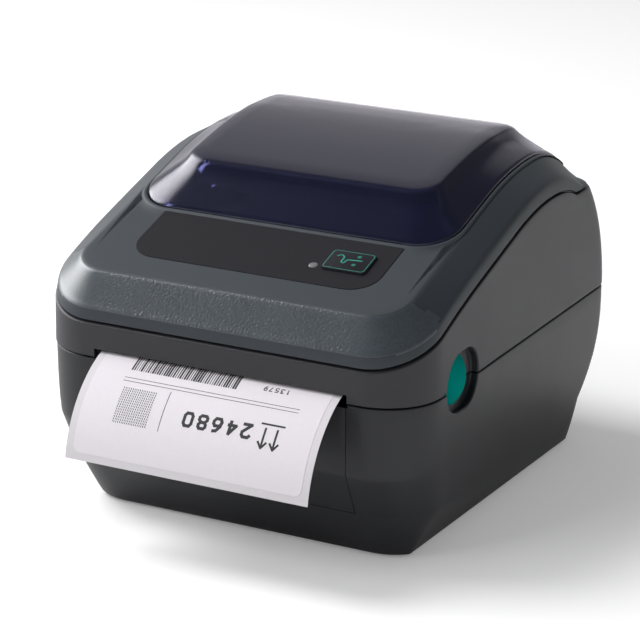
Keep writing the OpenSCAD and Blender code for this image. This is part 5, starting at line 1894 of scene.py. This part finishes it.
@dataclass
class LabelStrip:
    """Strip of labels on its liner, from the roll over the platen and out of the slot."""

    finishes: Finishes
    width: float = 108.8
    thick: float = 0.3
    strip_z: float = FORM.parting_z + 4
    platen_y: float = FORM.front_y + 22
    roll_y: float = FORM.front_y + 127
    roll_z: float = 72.0
    roll_r: float = 45.0
    gap: float = 0.4
    lip_r: float = 20.0
    lip_turn: float = 25.0
    lip_out: float = 0.5
    curl_turn: float = 82.0
    margin: float = 3.2
    label_t: float = 0.12
    label_r: float = 3.0
    label_back: float = 22.0
    ink_lift: float = 0.03
    rules: tuple[tuple[float, float, float, float], ...] = (
        (-37.6, 41.0, 8.7, 8.95), (-37.6, 41.0, 10.3, 10.55), (-15.2, -14.9, 11.8, 29.0))
    arrow_foot: Pair = (33.0, 17.6)
    bar_foot: Pair = (-36.3, 0.6)
    bar_count: int = 46
    bar_pitch: float = 1.04
    bar_l: float = 8.6
    bar_shares: Pair = (0.25, 0.9)
    bar_seed: int = 7
    dots_centre: Pair = (-28.3, 21.0)
    dots_side: float = 14.6
    dots_count: int = 15
    dot_r: float = 0.3

    def path(self, lift: float) -> list[Triple]:
        """Line of the strip from the roll outwards.

        Args:
            lift: Distance above the upper face.

        Returns:
            Y, Z and length from the slot's lip at each station.
        """
        form = FORM
        dy, dz = self.roll_y - self.platen_y, self.roll_z - self.strip_z
        angle = math.asin((self.roll_r + self.gap) / math.hypot(dy, dz)) + math.atan2(dz, dy)
        reach = self.roll_r + self.gap + self.thick + lift
        y0, z0 = self.roll_y - reach * math.sin(angle), self.roll_z + reach * math.cos(angle)
        y1, z1 = self.platen_y, self.strip_z + self.thick + lift
        line = [(y0 + (y1 - y0) * k / 10, z0 + (z1 - z0) * k / 10) for k in range(11)]
        turn, end = math.radians(self.lip_turn), math.radians(self.curl_turn)
        lip_y, top = form.front_y - self.lip_out, self.strip_z + self.thick
        bend, centre_y = self.lip_r + lift, lip_y + self.lip_r * math.sin(turn)
        line += [(centre_y - bend * math.sin(a), top - self.lip_r + bend * math.cos(a))
                 for a in (turn * k / 8 for k in range(1, 9))]
        lip = len(line) - 1
        low = top - self.lip_r * (1 - math.cos(turn))
        r = (form.label_out - self.lip_out) / (math.sin(end) - math.sin(turn))
        line += [(lip_y - r * (math.sin(a) - math.sin(turn)) - lift * math.sin(a),
                  low - r * (math.cos(turn) - math.cos(a)) + lift * math.cos(a))
                 for a in (turn + (end - turn) * k / 40 for k in range(1, 41))]
        length = [0.0]
        for (y0, z0), (y1, z1) in zip(line, line[1:]):
            length.append(length[-1] + math.hypot(y1 - y0, z1 - z0))
        return [(y, z, s - length[lip]) for (y, z), s in zip(line, length)]

    def on_strip(self, lift: float) -> Callable[[float, float], Triple]:
        """Rule that lays a flat drawing on the strip, with its V along the strip from the lip.

        Args:
            lift: Distance above the upper face.

        Returns:
            A rule from a point of the drawing to its place.
        """
        line = self.path(lift)

        def rule(u: float, v: float) -> Triple:
            """Place of a point of the drawing.

            Args:
                u: Place across the strip.
                v: Place along it.

            Returns:
                X, Y and Z.
            """
            low, high = next((a, b) for a, b in zip(line, line[1:]) if v <= b[2] or b is line[-1])
            (y0, z0, s0), (y1, z1, s1) = low, high
            t = (v - s0) / (s1 - s0)
            return (u, y0 + (y1 - y0) * t, z0 + (z1 - z0) * t)

        return rule

    def make_liner(self) -> Piece:
        """The liner with its two faces and four thin edges.

        Returns:
            The liner.
        """
        h = self.width / 2
        loops = [[Vector((x, p[0], p[1])) for x, p in ((-h, a), (-h, b), (h, b), (h, a))]
                 for a, b in zip(self.path(-self.label_t), self.path(-self.thick))]
        return dress(turn_out(loft("label_liner", loops), 40), self.finishes.liner)

    def make_label(self) -> Piece:
        """The label that lies on the liner, with round corners at its free end.

        Returns:
            The label.
        """
        r, start, cells = self.label_r, -self.label_back, 14
        half, end = self.width / 2 - self.margin, self.path(0.0)[-1][2] - self.margin
        stations = [start + (end - r - start) * k / 44 for k in range(45)]
        stations += [end - r + r * math.sin(math.radians(90 * k / 8)) for k in range(1, 9)]
        rows = [(v, half if v <= end - r else half - r + math.sqrt(max(0.0, r**2 - (v - end + r) ** 2)))
                for v in stations]
        n = cells + 1
        count = len(rows) * n
        rules = (self.on_strip(0.0), self.on_strip(-self.label_t))
        points = [rule(-w + 2 * w * k / cells, v) for rule in rules for v, w in rows for k in range(n)]
        faces: list[tuple[int, ...]] = []
        for a in (row * n + k for row in range(len(rows) - 1) for k in range(cells)):
            b = count + a
            faces += [(a, a + n, a + n + 1, a + 1), (b, b + 1, b + n + 1, b + n)]
        rim = [*range(n), *range(2 * n - 1, count, n), *range(count - 2, count - n - 1, -1),
               *range(count - 2 * n, 0, -n)]
        faces += [(a, b, count + b, count + a) for a, b in zip(rim, rim[1:] + rim[:1])]
        return dress(turn_out(make_piece("label_face", points, faces), 40), self.finishes.paper)

    def ladder(self, name: str, rungs: Sequence[Sequence[Pair]]) -> Piece:
        """Printed band between the two ends of rungs that follow the strip.

        Args:
            name: Name of the piece.
            rungs: Pairs of points across and along the strip.

        Returns:
            The printed band.
        """
        rule = self.on_strip(self.ink_lift)
        faces = [(k, k + 1, k + 3, k + 2) for k in range(0, 2 * len(rungs) - 2, 2)]
        points = [rule(*end) for rung in rungs for end in rung]
        return dress(make_piece(name, points, faces), self.finishes.ink)

    def ink(self, u0: float, u1: float, v0: float, v1: float) -> Piece:
        """Printed rectangle that follows the strip.

        Args:
            u0: Least place across.
            u1: Greatest place across.
            v0: Its edge towards the lip.
            v1: Its edge towards the end.

        Returns:
            The printed rectangle.
        """
        steps = max(1, int(abs(v1 - v0) / 1.5))
        levels = [v0 + (v1 - v0) * k / steps for k in range(steps + 1)]
        return self.ladder("rule", [((u0, v), (u1, v)) for v in levels])

    def strokes(self, name: str, line: Sequence[Pair], width: float) -> list[Piece]:
        """Printed line that follows the strip.

        Args:
            name: Name of the pieces.
            line: Points across and along the strip.
            width: Width of the line.

        Returns:
            One band for each stretch.
        """
        bands = []
        for a, b in zip([Vector(p) for p in line], [Vector(p) for p in line[1:]]):
            along = (b - a).normalized()
            side = Vector((-along.y, along.x)) * width / 2
            a, b = a - along * width * 0.3, b + along * width * 0.3
            steps = max(1, int(abs(b.y - a.y) / 1.2))
            middle = [a.lerp(b, k / steps) for k in range(steps + 1)]
            bands.append(self.ladder(name, [((p + side)[:], (p - side)[:]) for p in middle]))
        return bands

    def number(self, digits: str, foot: Pair, size: Pair, width: float, pitch: float) -> list[Piece]:
        """Row of plain digits that stand on their heads for someone in front.

        Args:
            digits: The digits.
            foot: Right end of the row and foot of the digits.
            size: Width and height of a digit.
            width: Width of their lines.
            pitch: Distance from digit to digit.

        Returns:
            Flat meshes.
        """
        (u, v), (w, h), r = foot, size, width / 2
        marks: list[Piece] = []
        for k, digit in enumerate(digits):
            line = [(u - k * pitch - r - x * (w - width), v + r + y * (h - width)) for x, y in DIGITS[digit]]
            marks += self.strokes("digit", line, width)
        return marks

    def arrows(self, foot: Pair) -> list[Piece]:
        """Two arrows on a bar, the usual sign for the way up."""
        return [band for width, line in ARROWS
                for band in self.strokes("arrow", [(foot[0] + x, foot[1] + y) for x, y in line], width)]

    def bend(self, flat: Piece, place: Pair) -> Piece:
        """Shift a flat mesh, drawn in metres as across and along, and lay it on the strip.

        Args:
            flat: The flat mesh.
            place: Shift across and along.

        Returns:
            The bent mesh.
        """
        u, v = place
        rule = self.on_strip(self.ink_lift)
        for vertex in flat.data.vertices:
            vertex.co = Vector(rule(vertex.co.x / MM + u, vertex.co.y / MM + v)) * MM
        return flat

    def make_bars(self) -> Piece:
        """Bar code of bars with seeded random widths.

        Returns:
            The printed bars.
        """
        tree = Repeat("bar_code")
        count, pitch, long = tree.size("Count", 40), tree.size("Pitch", 0.001), tree.size("Length", 0.01)
        line = tree.add("GeometryNodeMeshLine", None, Count=count, Offset=tree.vector(pitch))
        bar = tree.add("GeometryNodeMeshGrid", None, Size_X=1.0, Size_Y=1.0, Vertices_X=2, Vertices_Y=9)
        low, high = self.bar_shares
        width = tree.add("FunctionNodeRandomValue", {"data_type": "FLOAT"}, i2=low, i3=high,
                         Seed=tree.size("Seed", 1))
        size = tree.vector(tree.math("MULTIPLY", width.outputs[1], pitch), long, 1.0)
        many = tree.add("GeometryNodeInstanceOnPoints", None, Points=line.outputs[0], Instance=bar.outputs[0],
                        Scale=size)
        flat = tree.build(many.outputs[0], self.finishes.ink, Count=self.bar_count,
                          Pitch=self.bar_pitch * MM, Length=self.bar_l * MM, Seed=self.bar_seed)
        return self.bend(flat, self.bar_foot)

    def make_dots(self) -> Piece:
        """Square of slanting dots.

        Returns:
            The printed dots.
        """
        tree = Repeat("dot_square")
        side, number, radius = tree.size("Side", 0.01), tree.size("Number", 12), tree.size("Radius", 0.0003)
        grid = tree.add("GeometryNodeMeshGrid", None, Size_X=side, Size_Y=side, Vertices_X=number,
                        Vertices_Y=number)
        dot = tree.add("GeometryNodeMeshGrid", None, Size_X=tree.math("MULTIPLY", radius, 3.4), Size_Y=radius,
                       Vertices_X=2, Vertices_Y=2)
        slant = tree.add("GeometryNodeTransform", None, Geometry=dot.outputs[0], Rotation=(0.0, 0.0, 0.85))
        many = tree.add("GeometryNodeInstanceOnPoints", None, Points=grid.outputs[0],
                        Instance=slant.outputs[0])
        flat = tree.build(many.outputs[0], self.finishes.ink, Side=self.dots_side * MM,
                          Number=self.dots_count, Radius=self.dot_r * MM)
        return self.bend(flat, self.dots_centre)

    def build(self) -> None:
        """Make liner, label and print as one piece."""
        marks = [self.ink(*rule) for rule in self.rules]
        marks += self.number("24680", (25.0, 18.6), (4.8, 6.6), 1.35, 6.5)
        marks += self.number("13579", (33.5, 0.4), (1.7, 2.5), 0.42, 2.45)
        marks += self.arrows(self.arrow_foot)
        paper = [self.make_liner(), self.make_label(), self.make_bars(), self.make_dots()]
        strip = join("label_strip_print", [*paper, *marks])
        seat(strip, "base", "label_strip")


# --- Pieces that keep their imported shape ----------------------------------


@dataclass
class InnerParts:
    """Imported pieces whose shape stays, each with its own finish."""

    finishes: Finishes

    def build(self, nodes: dict[str, Piece]) -> None:
        """Assign the finishes.

        Args:
            nodes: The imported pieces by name.
        """
        f = self.finishes
        plan: tuple[tuple[Material, str], ...] = (
            (f.steel, "case_screws platen_shaft guide_pinion_pin usb_socket serial_socket switch_axle"),
            (f.steel, "latch_pins latch_spring_left latch_spring_right hinge_pins button_spring"),
            (f.steel, "lid_screws tear_bar striker_pins head_pin head_springs"),
            (f.grey, "media_frame guide_left guide_right latch_left latch_right lid_frame"),
            (f.nylon, "platen_gear platen_bearings idler_gear guide_pinion"),
            (f.black, "media_sensor dc_inlet switch_housing power_rocker"),
            (f.rubber, "platen_roller rubber_feet"), (f.board, "main_board button_board"),
            (f.brass, "motor_pinion"), (f.motor, "stepper_motor"), (f.cardboard, "roll_core"),
            (f.wound, "label_roll"), (f.ceramic, "printhead"), (f.aluminium, "heat_sink"),
            (f.paper, "label_strip"), (f.case, "lower_case front_bezel"), (f.lid_side, "upper_case"),
            (f.cover, "top_cover"), (f.window, "window"), (f.overlay, "overlay_panel feed_button"),
            (f.lens, "status_light"), (f.teal, "latch_button_left latch_button_right"),
        )
        for material, names in plan:
            for name in names.split():
                for slot in nodes[name].material_slots:
                    slot.material = material
                LOG.info("finish of %s: %s", name, material.name)


# --- Studio ---------------------------------------------------------------


@dataclass
class Lamp:
    """One soft lamp of the studio, in metres."""

    name: str
    place: Triple
    size: Pair
    power: float
    colour: Triple = (1.0, 1.0, 1.0)

    def build(self, aim: Triple) -> None:
        """Make the lamp and turn it towards a point.

        Args:
            aim: The point, in metres.
        """
        data = bpy.data.lights.new(self.name, "AREA")
        data.shape = "RECTANGLE"
        data.size, data.size_y = self.size
        data.energy = self.power
        data.color = self.colour
        lamp = show(bpy.data.objects.new(self.name, data))
        lamp.visible_glossy = False
        lamp.location = self.place
        lamp.rotation_euler = (Vector(aim) - Vector(self.place)).to_track_quat("-Z", "Y").to_euler()


@dataclass
class Studio:
    """Floor, lamps, background and camera."""

    azimuth: float = 26.437
    elevation: float = 17.959
    roll: float = 1.113
    focal_px: float = 2704.8
    sensor: float = 36.0
    target: Triple = (-5.67, 10.086, 69.006)
    floor_r: float = 3000.0
    floor_tone: float = 0.97
    floor_lift: float = 0.15
    distance: float = 1161.8
    lamps: tuple[Lamp, ...] = (
        Lamp("key_lamp", (-0.9, -0.25, 1.3), (0.8, 0.8), 21.0),
        Lamp("front_lamp", (-0.8, -1.3, 1.1), (1.0, 0.8), 8.0),
        Lamp("side_lamp", (1.4, -0.5, 0.8), (0.9, 0.7), 2.0),
    )
    fill: float = 0.3
    skies: tuple[Pair, ...] = ((0.0, 0.8), (0.25, 0.72), (0.34, 0.42), (0.46, 0.14), (1.0, 0.1))
    glows: tuple[tuple[Triple, float, float, float], ...] = (
        ((-0.5, 0.7, 0.5), 0.74, 0.92, 0.6),
        ((-0.88, 0.0, 0.5), 0.84, 0.98, 8.0),
    )

    def camera(self) -> None:
        """Make the camera."""
        a, e, r = (math.radians(v) for v in (self.azimuth, self.elevation, self.roll))
        back = Vector((math.sin(a) * math.cos(e), -math.cos(a) * math.cos(e), math.sin(e)))
        right = Vector((math.cos(a), math.sin(a), 0.0))
        up = back.cross(right)
        turned_right = right * math.cos(r) + up * math.sin(r)
        turned_up = up * math.cos(r) - right * math.sin(r)
        data = bpy.data.cameras.new("camera")
        data.sensor_fit = "HORIZONTAL"
        data.sensor_width = self.sensor
        data.lens = self.focal_px / IMAGE_W * self.sensor
        data.clip_start = 0.05
        camera = show(bpy.data.objects.new("camera", data))
        axes = Matrix((turned_right, turned_up, back)).transposed()
        place = (Vector(self.target) + back * self.distance) * MM
        camera.matrix_world = Matrix.Translation(place) @ axes.to_4x4()
        bpy.context.scene.camera = camera

    def world(self) -> None:
        """Make a background that is white to the camera and a pale, uneven sky in gloss."""
        world = bpy.data.worlds.new("studio")
        bpy.context.scene.world = world
        world.use_nodes = True
        n = Nodes(world.node_tree)
        path = n.add("LightPath").outputs
        place = n.add("TexCoord").outputs["Generated"]
        height = n.add("SeparateXYZ", None, Vector=place).outputs["Z"]
        bright = n.ramp(height, *((at, (light, light, light)) for at, light in self.skies))
        for centre, low, high, strength in self.glows:
            aim = n.add("VectorMath", {"operation": "DOT_PRODUCT"}, i0=place, i1=Vector(centre).normalized())
            glow = n.smooth_map(aim.outputs["Value"], (low, high), (0.0, strength))
            bright = n.math("MAXIMUM", bright, glow)
        seen = n.math("MAXIMUM", path["Is Camera Ray"], path["Is Transmission Ray"])
        gloss = n.math("MULTIPLY", path["Is Glossy Ray"], bright)
        dull = n.math("MULTIPLY", n.math("SUBTRACT", 1.0, path["Is Glossy Ray"]), self.fill)
        level = n.math("MAXIMUM", seen, n.math("ADD", gloss, dull))
        shade = n.add("Background", None, Color=(1.0, 1.0, 1.0, 1.0), Strength=level)
        n.add("OutputWorld", None, Surface=shade.outputs[0])

    def floor(self) -> None:
        """Make the floor."""
        r = self.floor_r
        piece = make_piece("floor", [(-r, -r, 0), (r, -r, 0), (r, r, 0), (-r, r, 0)], [(0, 1, 2, 3)])
        dress(piece, StudioFloor("floor_paper", (self.floor_tone,) * 3, self.floor_lift).make())

    def build(self) -> None:
        """Make the whole studio."""
        for lamp in self.lamps:
            lamp.build(tuple(c * MM for c in self.target))
        self.world()
        self.floor()
        self.camera()
        bpy.context.scene.view_settings.view_transform = "Standard"


def main() -> None:
    """Build the printer around its frame."""
    logging.basicConfig(level=logging.INFO, format="%(name)s: %(message)s")
    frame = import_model()
    finishes = Finishes()
    studio = Studio()
    studio.build()
    InnerParts(finishes).build(frame["nodes"])
    lower = LowerCase(finishes)
    lower.build()
    UpperCase(finishes, lower).build()
    TopCover(finishes).build()
    WindowShell(finishes).build()
    LatchButtons(finishes).build()
    LabelStrip(finishes).build()


if __name__ == "__main__":
    main()
